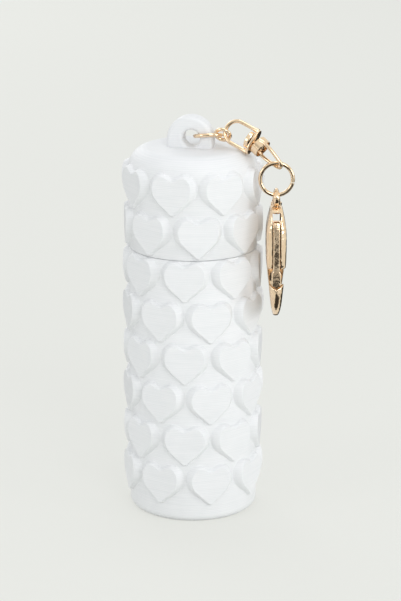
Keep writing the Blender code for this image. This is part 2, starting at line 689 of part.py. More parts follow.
def build_clasp_eye(bottom):
    """Bail round the jump ring, with the base, stem and head that the clasp turns on."""
    frame = upright(bottom)
    base_top = -EYE_BASE_DROP + EYE_BASE_THICKNESS
    top = EYE_RADIUS - EYE_DROP
    foot = (EYE_FOOT_HALF_WIDTH, base_top)
    side = arc((0.0, -EYE_DROP), EYE_RADIUS, -25.0, 90.0, 7)
    route = [foot] + side + [(-across, height) for across, height in reversed(side[:-1])]
    route.append((-foot[0], foot[1]))
    radii = []
    for _, height in route:
        share = (top - height) / (top - base_top)
        slim = EYE_WIRE_TOP + (EYE_WIRE_SIDE - EYE_WIRE_TOP) * min(1.0, 2 * share)
        radii.append(slim if share < 0.9 else EYE_WIRE_FOOT)
    points = [(0.0, across, height) for across, height in route]
    curve = wire_curve("clasp_eye", points, EYE_WIRE_TOP, radii=radii)
    eye = add_object("clasp_eye", curve_mesh(curve, "clasp_eye"), PALE_GOLD, frame)
    base_under = -EYE_BASE_DROP
    head_top = base_under - CLASP_TOP_GAP - CLASP_BRIDGE - EYE_GAP
    profile = [
        (0.0, base_top), (EYE_BASE_RADIUS, base_top), (EYE_BASE_RADIUS, base_under),
        (EYE_STEM_RADIUS, base_under), (EYE_STEM_RADIUS, head_top), (EYE_HEAD_RADIUS, head_top),
        (EYE_HEAD_RADIUS, head_top - EYE_HEAD_THICKNESS), (0.0, head_top - EYE_HEAD_THICKNESS)]
    under = block("eye_trim", (CUT_OVERRUN, CUT_OVERRUN, CUT_OVERRUN),
                  (0.0, 0.0, (base_top + base_under) / 2 - CUT_OVERRUN / 2), frame)
    stem = add_object("eye_stem", turned_mesh("eye_stem", profile, SMALL_STEPS), None, frame)
    for piece, operation in ((under, "DIFFERENCE"), (stem, "UNION")):
        combine(eye, piece, operation)
        settle(eye)
        bpy.data.objects.remove(piece, do_unlink=True)
    smooth(eye.data)
    return bottom + Vector((0.0, 0.0, base_under - CLASP_TOP_GAP))


def clasp_plane(place):
    """Return the frame of the clasp's flat outlines: X toward the gate, Y down, Z across."""
    return Matrix.Translation(place) @ Matrix(((0.0, 0.0, 1.0, 0.0), (-1.0, 0.0, 0.0, 0.0),
                                               (0.0, -1.0, 0.0, 0.0), (0.0, 0.0, 0.0, 1.0)))


def clasp_outline(shares):
    """Return an outline in sizes from shares of the clasp's half breadth and length."""
    return [(across * CLASP_HALF_BREADTH, down * CLASP_LENGTH) for across, down in shares]


def build_clasp_body(top):
    """Hook with its spine, nose, two side walls and the slot between them."""
    plane = clasp_plane(top)
    thickness = 2 * CLASP_HALF_THICKNESS
    mesh = flat_mesh("clasp_body", clasp_outline(CLASP_OUTLINE_SHARES), 2 * thickness)
    mesh.transform(plane)
    mesh.transform(upright(top).inverted())
    body = add_object("clasp_body", mesh, PALE_GOLD, upright(top))
    side = [(across * CLASP_HALF_THICKNESS, -down * CLASP_LENGTH)
            for across, down in CLASP_PROFILE_SHARES]
    spindle_outline = side + [(-across, height) for across, height in reversed(side)]
    standing = upright(top) @ Matrix.Rotation(math.radians(90), 4, "X")
    spindle = add_object("clasp_spindle", flat_mesh("clasp_spindle", spindle_outline,
                                                    4 * CLASP_HALF_BREADTH), None, standing)
    window_height = CLASP_WINDOW_BOTTOM - CLASP_BRIDGE
    window = block("clasp_window", (CLASP_SLOT_WIDTH, CUT_OVERRUN * 2, window_height),
                   (0.0, 0.0, -CLASP_BRIDGE - window_height / 2), upright(top))
    slot_bottom = CLASP_WALL_END_SHARE * CLASP_LENGTH + CLASP_SLOT_RUNOUT
    slot_height = slot_bottom - CLASP_BRIDGE
    slot = block("clasp_slot", (CLASP_SLOT_WIDTH, CUT_OVERRUN, slot_height),
                 (0.0, -CLASP_SLOT_BACK - CUT_OVERRUN / 2, -CLASP_BRIDGE - slot_height / 2),
                 upright(top))
    stem_hole = cylinder("clasp_stem_hole", CLASP_STEM_HOLE, 4 * CLASP_BRIDGE, frame=upright(top))
    pin_hole = cylinder("clasp_pin_hole", PIN_RADIUS + PIN_CLEARANCE, CUT_OVERRUN,
                        frame=lever_frame(top))
    combine(body, spindle, "INTERSECT")
    settle(body)
    bpy.data.objects.remove(spindle, do_unlink=True)
    round_edges(body, CLASP_ROUNDING, 2, 40)
    for piece in (window, slot, stem_hole, pin_hole):
        combine(body, piece, "DIFFERENCE")
        settle(body)
        bpy.data.objects.remove(piece, do_unlink=True)
    smooth(body.data)


def pin_place():
    """Return where the lever's pin is in the clasp's plane."""
    breadth, depth = LEVER_PIN_SHARES
    return Vector((breadth * CLASP_HALF_BREADTH, depth * CLASP_LENGTH, 0.0))


def lever_frame(top):
    """Return the lever's frame, on the pin, with its Z along the pin."""
    return clasp_plane(top) @ Matrix.Translation(pin_place())


def build_lever(top):
    """Thumb arm and gate in one, with a notch for the spring beside the pin."""
    mesh = flat_mesh("clasp_lever", clasp_outline(LEVER_OUTLINE_SHARES), LEVER_THICKNESS)
    mesh.transform(Matrix.Translation(-pin_place()))
    frame = lever_frame(top)
    lever = add_object("clasp_lever", mesh, PALE_GOLD, frame)
    hole = cylinder("lever_hole", PIN_RADIUS + PIN_CLEARANCE, CUT_OVERRUN, frame=frame)
    notch = cylinder("lever_notch", SPRING_NOTCH_RADIUS, LEVER_THICKNESS, frame=frame @
                     Matrix.Translation((0.0, 0.0, -LEVER_THICKNESS / 2)))
    for piece in (hole, notch):
        combine(lever, piece, "DIFFERENCE")
        settle(lever)
        bpy.data.objects.remove(piece, do_unlink=True)
    smooth(lever.data)
    length = 2 * (CLASP_PROFILE_SHARES[4][0] * CLASP_HALF_THICKNESS - PIN_SHORTER)
    pin = cylinder("clasp_lever_pin", PIN_RADIUS, length, material=PALE_GOLD, frame=frame)
    smooth(pin.data)


def build_spring(top):
    """Return spring round the pin, in the lever's notch."""
    points = []
    count = round(SPRING_TURNS * SPRING_STEPS)
    start = -LEVER_THICKNESS / 2 + SPRING_WIRE / 2
    for step in range(count + 1):
        angle = 2 * math.pi * step / SPRING_STEPS
        points.append((SPRING_RADIUS * math.cos(angle), SPRING_RADIUS * math.sin(angle),
                       start + SPRING_PITCH * step / SPRING_STEPS - SPRING_WIRE))
    curve = wire_curve("clasp_spring", points, SPRING_WIRE, resolution=1)
    add_object("clasp_spring", curve, PALE_GOLD, lever_frame(top))


def main():
    """Build every part in the order in which it hangs."""
    build_case()
    build_cap()
    first_bend = build_link_1()
    second_bend = build_link_2(first_bend)
    plate_frame = build_swivel_front(second_bend)
    build_rivet(plate_frame)
    rear_bend = build_swivel_rear(plate_frame)
    ring_bottom = build_jump_ring(rear_bend)
    clasp_top = build_clasp_eye(ring_bottom)
    build_clasp_body(clasp_top)
    build_lever(clasp_top)
    build_spring(clasp_top)


main()
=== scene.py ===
"""Lipstick case keychain: the printed case with its raised hearts, and its pale gold hardware.

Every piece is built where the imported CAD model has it, in metres, and rides on its CAD body.
The case and cap are white PLA with fine layers; the links, swivel, ring and clasp are plated
zinc castings and wires.
"""
from __future__ import annotations

import json
import logging
import math
from dataclasses import dataclass, field
from enum import Enum
from typing import Sequence

import bmesh
import bpy
from mathutils import Matrix, Vector


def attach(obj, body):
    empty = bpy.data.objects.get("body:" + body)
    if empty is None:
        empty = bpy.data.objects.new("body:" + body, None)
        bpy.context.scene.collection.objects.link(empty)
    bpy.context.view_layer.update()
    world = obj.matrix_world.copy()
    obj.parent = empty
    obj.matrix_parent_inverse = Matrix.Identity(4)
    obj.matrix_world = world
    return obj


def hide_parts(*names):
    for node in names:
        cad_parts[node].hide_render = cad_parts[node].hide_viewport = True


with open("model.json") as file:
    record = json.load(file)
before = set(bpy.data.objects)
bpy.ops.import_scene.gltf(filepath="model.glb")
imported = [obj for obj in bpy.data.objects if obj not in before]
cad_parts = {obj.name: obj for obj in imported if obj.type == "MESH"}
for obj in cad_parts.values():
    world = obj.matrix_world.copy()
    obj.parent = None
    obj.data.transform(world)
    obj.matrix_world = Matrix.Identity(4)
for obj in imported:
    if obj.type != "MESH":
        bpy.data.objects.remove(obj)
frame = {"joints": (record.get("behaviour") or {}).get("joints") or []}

LOG = logging.getLogger("keychain")
MM = 0.001
Point = tuple[float, float]
Triple = tuple[float, float, float]
# Vertices nearer than this are one.
WELD = 0.0005 * MM
# How far in from its corner the middle of a small rounding lies, as a share of the rounding.
SOFT_SHARE = 0.3


class Body(Enum):
    """The CAD bodies that pieces ride on."""

    CASE = "case"
    CAP = "cap"
    LINK_1 = "link_1"
    LINK_2 = "link_2"
    FRONT_LOOP = "front_loop"
    REAR_LOOP = "rear_loop"
    RING = "ring"
    EYE = "eye"
    CLASP = "clasp"
    LEVER = "lever"


class Slot(Enum):
    """The record's material slots."""

    PRINT = "white_print"
    GOLD = "pale_gold"


class Keep(Enum):
    """What a Boolean keeps of a solid: what lies outside its tool, or what lies inside it."""

    OUTSIDE = "DIFFERENCE"
    INSIDE = "INTERSECT"


def srgb(code: str) -> tuple[float, ...]:
    """Turn an sRGB hex value into a linear colour.

    Args:
        code: The colour, such as "#F0EFEC".

    Returns:
        Linear red, green and blue, and an alpha of 1.
    """
    channels = [int(code[i:i + 2], 16) / 255 for i in (1, 3, 5)]
    linear = [c / 12.92 if c <= 0.04045 else ((c + 0.055) / 1.055) ** 2.4 for c in channels]
    return (*linear, 1.0)


def add_node(tree: bpy.types.NodeTree, kind: str, settings: dict | None = None,
             inputs: dict | None = None) -> bpy.types.Node:
    """Add a node with its settings, its socket values and its links.

    Args:
        tree: The tree that gets the node.
        kind: The node's type name.
        settings: Attributes of the node.
        inputs: Socket name or index to a value, or to an output socket to link from.

    Returns:
        The new node.
    """
    node = tree.nodes.new(kind)
    for key, value in (settings or {}).items():
        setattr(node, key, value)
    for key, value in (inputs or {}).items():
        socket = node.inputs[key]
        if isinstance(value, bpy.types.NodeSocket):
            tree.links.new(value, socket)
        else:
            socket.default_value = value
    return node


def fresh_material(name: str) -> tuple[bpy.types.Material, bpy.types.NodeTree]:
    """Make a material with nothing in its node tree.

    Args:
        name: The material's name.

    Returns:
        The material and its tree.
    """
    material = bpy.data.materials.new(name)
    material.use_nodes = True
    material.node_tree.nodes.clear()
    return material, material.node_tree


@dataclass(frozen=True)
class PrintedPla:
    """White PLA filament, laid down in layers by a printer.

    The layers give the eye fine level lines, and level faces show the nozzle's diagonal tracks.
    Real layers are 0.2 mm; they are drawn at about twice that, the finest that the render shows.
    The cloud patches are slightly greyer in the white, and the streaks run along each layer.
    The low parts of the layers, tracks and streaks are painted greyer, as painted shade.
    """

    colour: str = "#EDEDEE"
    # Painted shade: the grey that the low parts of the layers and streaks turn to.
    groove_shade_colour: str = "#D8DBDC"
    layer: float = 0.45 * MM
    depth: float = 0.05 * MM
    roughness: float = 0.52
    cloud: float = 4.1667 * MM
    streak_length: float = 11.111 * MM
    streak_height: float = 0.38462 * MM
    # Painted shade: how far the lowest parts of the relief turn to that grey.
    groove_shade_share: float = 0.55
    streak_share: float = 0.8
    cloud_share: float = 0.25
    relief: float = 0.55

    def material(self) -> bpy.types.Material:
        """Make the filament's material.

        Returns:
            The material.
        """
        made, tree = fresh_material("white_pla_print")
        place = add_node(tree, "ShaderNodeTexCoord")
        # A band texture repeats every 2 pi / 20 of its scaled coordinate.
        per_metre = math.tau / 20 / self.layer
        wander = add_node(tree, "ShaderNodeTexNoise", {}, {
            "Vector": place.outputs["Object"], "Scale": 1 / self.cloud, "Detail": 2.0})
        layers = add_node(tree, "ShaderNodeTexWave", {"bands_direction": "Z"}, {
            "Vector": place.outputs["Object"], "Scale": per_metre, "Distortion": 0.35,
            "Detail": 1.0, "Detail Scale": 0.02})
        tracks = add_node(tree, "ShaderNodeTexWave", {"bands_direction": "DIAGONAL"}, {
            "Vector": place.outputs["Object"], "Scale": per_metre, "Distortion": 0.2})
        facing = add_node(tree, "ShaderNodeNewGeometry")
        split = add_node(tree, "ShaderNodeSeparateXYZ", {}, {0: facing.outputs["Normal"]})
        # A face that looks up within 10 degrees shows the tracks, and past 22 only the layers.
        level = add_node(tree, "ShaderNodeMapRange", {"interpolation_type": "SMOOTHSTEP"}, {
            "Value": split.outputs["Z"], "From Min": 0.93, "From Max": 0.985})
        lines = add_node(tree, "ShaderNodeMix", {"data_type": "FLOAT"}, {
            "Factor": level.outputs["Result"], "A": layers.outputs["Fac"],
            "B": tracks.outputs["Fac"]})
        along, up = 1 / self.streak_length, 1 / self.streak_height
        stretch = add_node(tree, "ShaderNodeMapping", {}, {
            "Vector": place.outputs["Object"], "Scale": (along, along, up)})
        streaks = add_node(tree, "ShaderNodeTexNoise", {}, {
            "Vector": stretch.outputs["Vector"], "Scale": 1.0, "Detail": 3.0,
            "Roughness": 0.6})
        height = add_node(tree, "ShaderNodeMix", {"data_type": "FLOAT"}, {
            "Factor": self.streak_share, "A": lines.outputs[0], "B": streaks.outputs["Fac"]})
        bump = add_node(tree, "ShaderNodeBump", {}, {
            "Strength": self.relief, "Distance": self.depth, "Height": height.outputs[0]})
        # Painted shade: the lower the layers, tracks and streaks, the greyer the white.
        shade = add_node(tree, "ShaderNodeMapRange", {}, {
            "Value": height.outputs[0], "From Min": 0.25, "From Max": 0.75,
            "To Min": self.groove_shade_share, "To Max": 0.0})
        # The painted shade, mixed with the random grey clouds.
        shade_and_clouds = add_node(tree, "ShaderNodeMix", {"data_type": "FLOAT"}, {
            "Factor": self.cloud_share, "A": shade.outputs["Result"],
            "B": wander.outputs["Fac"]})
        tint = add_node(tree, "ShaderNodeMix", {"data_type": "RGBA"}, {
            "Factor": shade_and_clouds.outputs[0], "A": srgb(self.colour), "B": srgb(self.groove_shade_colour)})
        shader = add_node(tree, "ShaderNodeBsdfPrincipled", {}, {
            "Base Color": tint.outputs["Result"], "Roughness": self.roughness,
            "Normal": bump.outputs["Normal"], "Specular IOR Level": 0.35})
        add_node(tree, "ShaderNodeOutputMaterial", {}, {"Surface": shader.outputs["BSDF"]})
        return made


@dataclass(frozen=True)
class PlatedZinc:
    """Zinc alloy under a thin polished layer of pale gold, cast or drawn to wire.

    The polish mirrors the studio; a casting keeps a slight waviness and a softer gloss. The
    grain is the size of the waves, and the gloss differs in smaller specks.
    """

    name: str = "polished_gold_wire"
    colour: str = "#FAE6CA"
    deep_colour: str = "#F2D0AA"
    roughness: float = 0.08
    waviness: float = 0.02 * MM
    relief: float = 0.3
    grain: float = 1.6 * MM
    specks_a_grain: float = 8.0
    gloss_shares: Point = (0.7, 1.6)

    def material(self) -> bpy.types.Material:
        """Make the plating's material.

        Returns:
            The material.
        """
        made, tree = fresh_material(self.name)
        place = add_node(tree, "ShaderNodeTexCoord")
        waves = add_node(tree, "ShaderNodeTexNoise", {}, {
            "Vector": place.outputs["Object"], "Scale": 1 / self.grain, "Detail": 2.0})
        specks = add_node(tree, "ShaderNodeTexNoise", {}, {
            "Vector": place.outputs["Object"], "Scale": self.specks_a_grain / self.grain,
            "Detail": 3.0})
        tone = add_node(tree, "ShaderNodeMix", {"data_type": "RGBA"}, {
            "Factor": waves.outputs["Fac"], "A": srgb(self.colour),
            "B": srgb(self.deep_colour)})
        glossy, dull = (self.roughness * share for share in self.gloss_shares)
        gloss = add_node(tree, "ShaderNodeMapRange", {}, {
            "Value": specks.outputs["Fac"], "From Min": 0.3, "From Max": 0.7,
            "To Min": glossy, "To Max": dull})
        bump = add_node(tree, "ShaderNodeBump", {}, {
            "Strength": self.relief, "Distance": self.waviness, "Height": waves.outputs["Fac"]})
        shader = add_node(tree, "ShaderNodeBsdfPrincipled", {}, {
            "Base Color": tone.outputs["Result"], "Metallic": 1.0,
            "Roughness": gloss.outputs["Result"], "Normal": bump.outputs["Normal"]})
        add_node(tree, "ShaderNodeOutputMaterial", {}, {"Surface": shader.outputs["BSDF"]})
        return made


def new_object(name: str, data: bpy.types.ID) -> bpy.types.Object:
    """Make an object and link it to the scene.

    Args:
        name: The object's name.
        data: Its mesh, curve, lamp or camera.

    Returns:
        The object.
    """
    item = bpy.data.objects.new(name, data)
    bpy.context.scene.collection.objects.link(item)
    return item


def finished_mesh(item: bpy.types.Object, name: str) -> bpy.types.Mesh:
    """Return an object's evaluated mesh with its place applied, and remove the object.

    Args:
        item: The object, with its modifiers.
        name: The mesh's new name.

    Returns:
        A plain mesh in the row frame.
    """
    bpy.context.view_layer.update()
    graph = bpy.context.evaluated_depsgraph_get()
    mesh = bpy.data.meshes.new_from_object(item.evaluated_get(graph))
    mesh.transform(item.matrix_world)
    mesh.name = name
    bpy.data.objects.remove(item, do_unlink=True)
    return mesh


def applied(item: bpy.types.Object) -> bpy.types.Object:
    """Replace an object by one of the same name that has its modifiers applied."""
    name = item.name
    return new_object(name, finished_mesh(item, name))


def tidy_mesh(mesh: bpy.types.Mesh, sharp: float) -> bpy.types.Mesh:
    """Weld doubles, turn all faces outwards and shade smooth.

    Args:
        mesh: The closed mesh, which is changed.
        sharp: Turn, in degrees, from which an edge stays sharp.

    Returns:
        The same mesh.
    """
    work = bmesh.new()
    work.from_mesh(mesh)
    bmesh.ops.remove_doubles(work, verts=work.verts, dist=WELD)
    bmesh.ops.recalc_face_normals(work, faces=work.faces)
    if work.calc_volume(signed=True) < 0.0:
        bmesh.ops.reverse_faces(work, faces=work.faces)
    work.to_mesh(mesh)
    work.free()
    mesh.shade_smooth()
    mesh.set_sharp_from_angle(angle=math.radians(sharp))
    return mesh


def joined(name: str, meshes: Sequence[bpy.types.Mesh]) -> bpy.types.Mesh:
    """Put several closed shells into one mesh.

    Args:
        name: The new mesh's name.
        meshes: The shells.

    Returns:
        The new mesh.
    """
    work = bmesh.new()
    for mesh in meshes:
        work.from_mesh(mesh)
    result = bpy.data.meshes.new(name)
    work.to_mesh(result)
    work.free()
    return result


def loft(name: str, rings: Sequence[Sequence[Vector]]) -> bpy.types.Mesh:
    """Return a closed shell through rings of equal length, with both ends filled.

    Args:
        name: The mesh's name.
        rings: Closed rings of points, from one end to the other.

    Returns:
        The shell.
    """
    work = bmesh.new()
    rows = [[work.verts.new(place) for place in ring] for ring in rings]
    count = len(rows[0])
    for upper, lower in zip(rows, rows[1:]):
        for index in range(count):
            after = (index + 1) % count
            work.faces.new((upper[index], lower[index], lower[after], upper[after]))
    work.faces.new(rows[0])
    work.faces.new(rows[-1][::-1])
    bmesh.ops.recalc_face_normals(work, faces=work.faces)
    mesh = bpy.data.meshes.new(name)
    work.to_mesh(mesh)
    work.free()
    return mesh


def revolved(name: str, profile: Sequence[Point], at: Matrix, steps: int,
             closed: bool = False) -> bpy.types.Mesh:
    """Turn a profile of radii and heights about a frame's Z.

    Args:
        name: The mesh's name.
        profile: Radius and height of each point; a radius of 0 is a pole.
        at: Where the axis stands.
        steps: Facets round the axis.
        closed: Whether the last point joins the first, as round a hole.

    Returns:
        A closed mesh in the row frame.
    """
    work = bmesh.new()
    rows: list[list[bmesh.types.BMVert]] = []
    for radius, height in profile:
        if radius == 0.0:
            rows.append([work.verts.new((0.0, 0.0, height))] * steps)
            continue
        rows.append([work.verts.new((radius * math.cos(a), radius * math.sin(a), height))
                     for a in whole_turn(steps)])
    pairs = list(zip(rows, rows[1:])) + ([(rows[-1], rows[0])] if closed else [])
    for upper, lower in pairs:
        for step in range(steps):
            after = (step + 1) % steps
            corners = [upper[step], lower[step], lower[after], upper[after]]
            kept = [v for i, v in enumerate(corners) if v not in corners[:i]]
            work.faces.new(kept)
    bmesh.ops.recalc_face_normals(work, faces=work.faces)
    mesh = bpy.data.meshes.new(name)
    work.to_mesh(mesh)
    work.free()
    mesh.transform(at)
    return mesh


def arc(centre: Point, radius: float, start: float, end: float, steps: int) -> list[Point]:
    """Return the points of an arc from one angle in degrees to another, both included."""
    turns = [math.radians(start + (end - start) * step / steps) for step in range(steps + 1)]
    return [(centre[0] + radius * math.cos(a), centre[1] + radius * math.sin(a)) for a in turns]


def whole_turn(steps: int) -> list[float]:
    """Return the angles of even steps round a full circle."""
    return [math.tau * step / steps for step in range(steps)]


def curved(points: Sequence[Point], steps: int) -> list[Point]:
    """Draw a smooth run through points, as a Catmull-Rom curve.

    Args:
        points: The points, both ends included.
        steps: Facets between two points.

    Returns:
        The run.
    """
    ends = [points[0], *points, points[-1]]
    run: list[Point] = []
    for p0, p1, p2, p3 in zip(ends, ends[1:], ends[2:], ends[3:]):
        for step in range(steps):
            t = step / steps
            run.append(tuple(0.5 * (2 * b + (c - a) * t + (2 * a - 5 * b + 4 * c - d) * t * t
                                    + (3 * b - a - 3 * c + d) * t ** 3)
                             for a, b, c, d in zip(p0, p1, p2, p3)))
    run.append(tuple(points[-1]))
    return run


def bent(start: Vector, corner: Vector, end: Vector, steps: int) -> list[Vector]:
    """Return a soft bend round a corner, both ends included."""
    shares = [step / steps for step in range(steps + 1)]
    return [start * (1 - t) ** 2 + corner * 2 * t * (1 - t) + end * t ** 2 for t in shares]


def shortened(run: Sequence[Point], length: float) -> list[Vector]:
    """Take the same length off both ends of a run.

    Args:
        run: The run's points.
        length: What each end loses.

    Returns:
        The shorter run.
    """
    places = [Vector(point) for point in run]
    # A run of one step keeps its middle, and a stub at its end is dropped.
    most_share, stub_share = 0.49, 0.25
    for _ in range(2):
        left = length
        while (places[1] - places[0]).length < left and len(places) > 2:
            left -= (places[1] - places[0]).length
            places.pop(0)
        step = places[1] - places[0]
        places[0] = places[0] + step * min(most_share, left / step.length)
        if len(places) > 2 and (places[1] - places[0]).length < stub_share * length:
            places.pop(1)
        places.reverse()
    return places


def soft_loop(runs: Sequence[Sequence[Point]], length: float, steps: int) -> list[Point]:
    """Join runs end to end into a closed outline with soft corners.

    Args:
        runs: Runs of points, each starting where the one before it ends.
        length: How far each corner reaches along its two runs.
        steps: Facets of each corner.

    Returns:
        The outline.
    """
    cuts = [shortened(run, length) for run in runs]
    outline: list[Vector] = []
    for index, cut_run in enumerate(cuts):
        after = cuts[(index + 1) % len(cuts)]
        outline += cut_run
        outline += bent(cut_run[-1], Vector(runs[index][-1]), after[0], steps)[1:-1]
    return [tuple(place) for place in outline]


def in_mm(points: Sequence[Point]) -> list[Point]:
    """Return points given in millimetres in metres."""
    return [(x * MM, y * MM) for x, y in points]


def slab(name: str, outline: Sequence[Point], thickness: float, at: Matrix,
         rounding: float = 0.0, segments: int = 3, angle: float = 40.0) -> bpy.types.Object:
    """Return a flat outline made a solid about its own plane, with rounded edges.

    Args:
        name: The object's name.
        outline: Points in the frame's X and Y.
        thickness: Size along the frame's Z.
        at: Where the outline's plane lies.
        rounding: Radius of the edges, or 0 for sharp ones.
        segments: Facets of each rounding.
        angle: Least turn, in degrees, of an edge that is rounded.

    Returns:
        The solid as an object at the origin.
    """
    rings = [[Vector((x, y, side * thickness / 2)) for x, y in outline] for side in (1, -1)]
    mesh = loft(name, rings)
    mesh.transform(at)
    item = new_object(name, mesh)
    return rounded(item, rounding, segments, angle) if rounding else item


def rounded(item: bpy.types.Object, width: float, segments: int,
            angle: float) -> bpy.types.Object:
    """Round an object's edges with a bevel.

    Args:
        item: The solid.
        width: Width of each rounding.
        segments: Facets of each rounding.
        angle: Least turn, in degrees, of an edge that is rounded.

    Returns:
        The rounded solid.
    """
    bevel = item.modifiers.new("Rounding", "BEVEL")
    bevel.width = width
    bevel.segments = segments
    bevel.limit_method = "ANGLE"
    bevel.angle_limit = math.radians(angle)
    bevel.use_clamp_overlap = False
    return applied(item)


def worn(item: bpy.types.Object, grain: float, softening: int) -> bpy.types.Object:
    """Round all of a solid's edges the way polishing does: remesh it finely and smooth it.

    Args:
        item: The closed solid.
        grain: Size of the new mesh's faces.
        softening: Passes of smoothing; the edges' radius grows with their square root.

    Returns:
        The softened solid.
    """
    remesh = item.modifiers.new("Fine even mesh", "REMESH")
    remesh.mode = "VOXEL"
    remesh.voxel_size = grain
    smooth = item.modifiers.new("Polish", "SMOOTH")
    smooth.factor = 0.5
    smooth.iterations = softening
    return applied(item)


def cut(item: bpy.types.Object, tool: bpy.types.Object,
        keep: Keep = Keep.OUTSIDE) -> bpy.types.Object:
    """Run an exact Boolean on an object.

    Args:
        item: The solid.
        tool: The solid that cuts it, which is removed.
        keep: Which side of the tool stays.

    Returns:
        What is left.
    """
    boolean = item.modifiers.new("Cut", "BOOLEAN")
    boolean.operation = keep.value
    boolean.solver = "EXACT"
    boolean.object = tool
    left = applied(item)
    bpy.data.objects.remove(tool, do_unlink=True)
    return left


def rod(name: str, radius: float, length: float, at: Matrix) -> bpy.types.Object:
    """Return a plain cylinder about a frame's Z, for cutting."""
    profile = [(0.0, length / 2), (radius, length / 2), (radius, -length / 2),
               (0.0, -length / 2)]
    return new_object(name, revolved(name, profile, at, steps=32))


def frame_at(place: Vector, angles: Triple) -> Matrix:
    """Return a frame whose X points along an azimuth and down a dip, and whose Y is rolled.

    Args:
        place: The frame's origin.
        angles: Azimuth, dip and roll in degrees. With no roll, Y is up and Z is level.

    Returns:
        The frame's matrix.
    """
    azimuth, dip, roll = (math.radians(value) for value in angles)
    along = Vector((math.cos(dip) * math.cos(azimuth), math.cos(dip) * math.sin(azimuth),
                    -math.sin(dip)))
    level = Vector((-math.sin(azimuth), math.cos(azimuth), 0.0))
    across = along.cross(level) * math.cos(roll) + level * math.sin(roll)
    turned = Matrix((along, across, along.cross(across))).transposed().to_4x4()
    return Matrix.Translation(place) @ turned


def pivot(joint: str) -> Vector:
    """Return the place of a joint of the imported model."""
    return next(Vector(j["pos_m"]) for j in frame["joints"] if j["name"] == joint)


class NodeTool:
    """A Geometry Nodes tree with named inputs, run once on an object to make a plain mesh."""

    def __init__(self, name: str, inputs: Sequence[tuple[str, str]]) -> None:
        """Start the tree.

        Args:
            name: The tree's name.
            inputs: Name and socket type of each input after the geometry.
        """
        self.tree = bpy.data.node_groups.new(name, "GeometryNodeTree")
        face = self.tree.interface
        face.new_socket("Geometry", in_out="INPUT", socket_type="NodeSocketGeometry")
        self.keys = {label: face.new_socket(label, in_out="INPUT", socket_type=kind).identifier
                     for label, kind in inputs}
        face.new_socket("Geometry", in_out="OUTPUT", socket_type="NodeSocketGeometry")
        self.start = self.tree.nodes.new("NodeGroupInput")

    def value(self, label: str) -> bpy.types.NodeSocket:
        """Return the socket of a named input."""
        return self.start.outputs[label]

    def end(self, geometry: bpy.types.NodeSocket) -> None:
        """Realize the instances, set the material and close the tree.

        Args:
            geometry: The socket that gives the finished geometry.
        """
        real = add_node(self.tree, "GeometryNodeRealizeInstances", {}, {0: geometry})
        dressed = add_node(self.tree, "GeometryNodeSetMaterial", {}, {
            "Geometry": real.outputs[0], "Material": self.value("Material")})
        add_node(self.tree, "NodeGroupOutput", {}, {0: dressed.outputs[0]})

    def run(self, item: bpy.types.Object, name: str, values: dict) -> bpy.types.Mesh:
        """Run the tree on an object and remove it.

        Args:
            item: The object that carries the geometry.
            name: The result's name.
            values: Input name to its value.

        Returns:
            The plain mesh.
        """
        modifier = item.modifiers.new(self.tree.name, "NODES")
        modifier.node_group = self.tree
        for label, value in values.items():
            modifier[self.keys[label]] = value
        return finished_mesh(item, name)


def wire_tool() -> NodeTool:
    """Plan the tool that draws round wire along a route, with its radius from the route.

    Returns:
        The tool.
    """
    tool = NodeTool("Wire along a route", [("Sides", "NodeSocketInt"),
                                           ("Material", "NodeSocketMaterial")])
    section = add_node(tool.tree, "GeometryNodeCurvePrimitiveCircle", {}, {
        "Resolution": tool.value("Sides"), "Radius": 1.0})
    radius = add_node(tool.tree, "GeometryNodeInputRadius")
    wire = add_node(tool.tree, "GeometryNodeCurveToMesh", {}, {
        "Curve": tool.value("Geometry"), "Profile Curve": section.outputs["Curve"],
        "Scale": radius.outputs[0], "Fill Caps": True})
    tool.end(wire.outputs[0])
    return tool


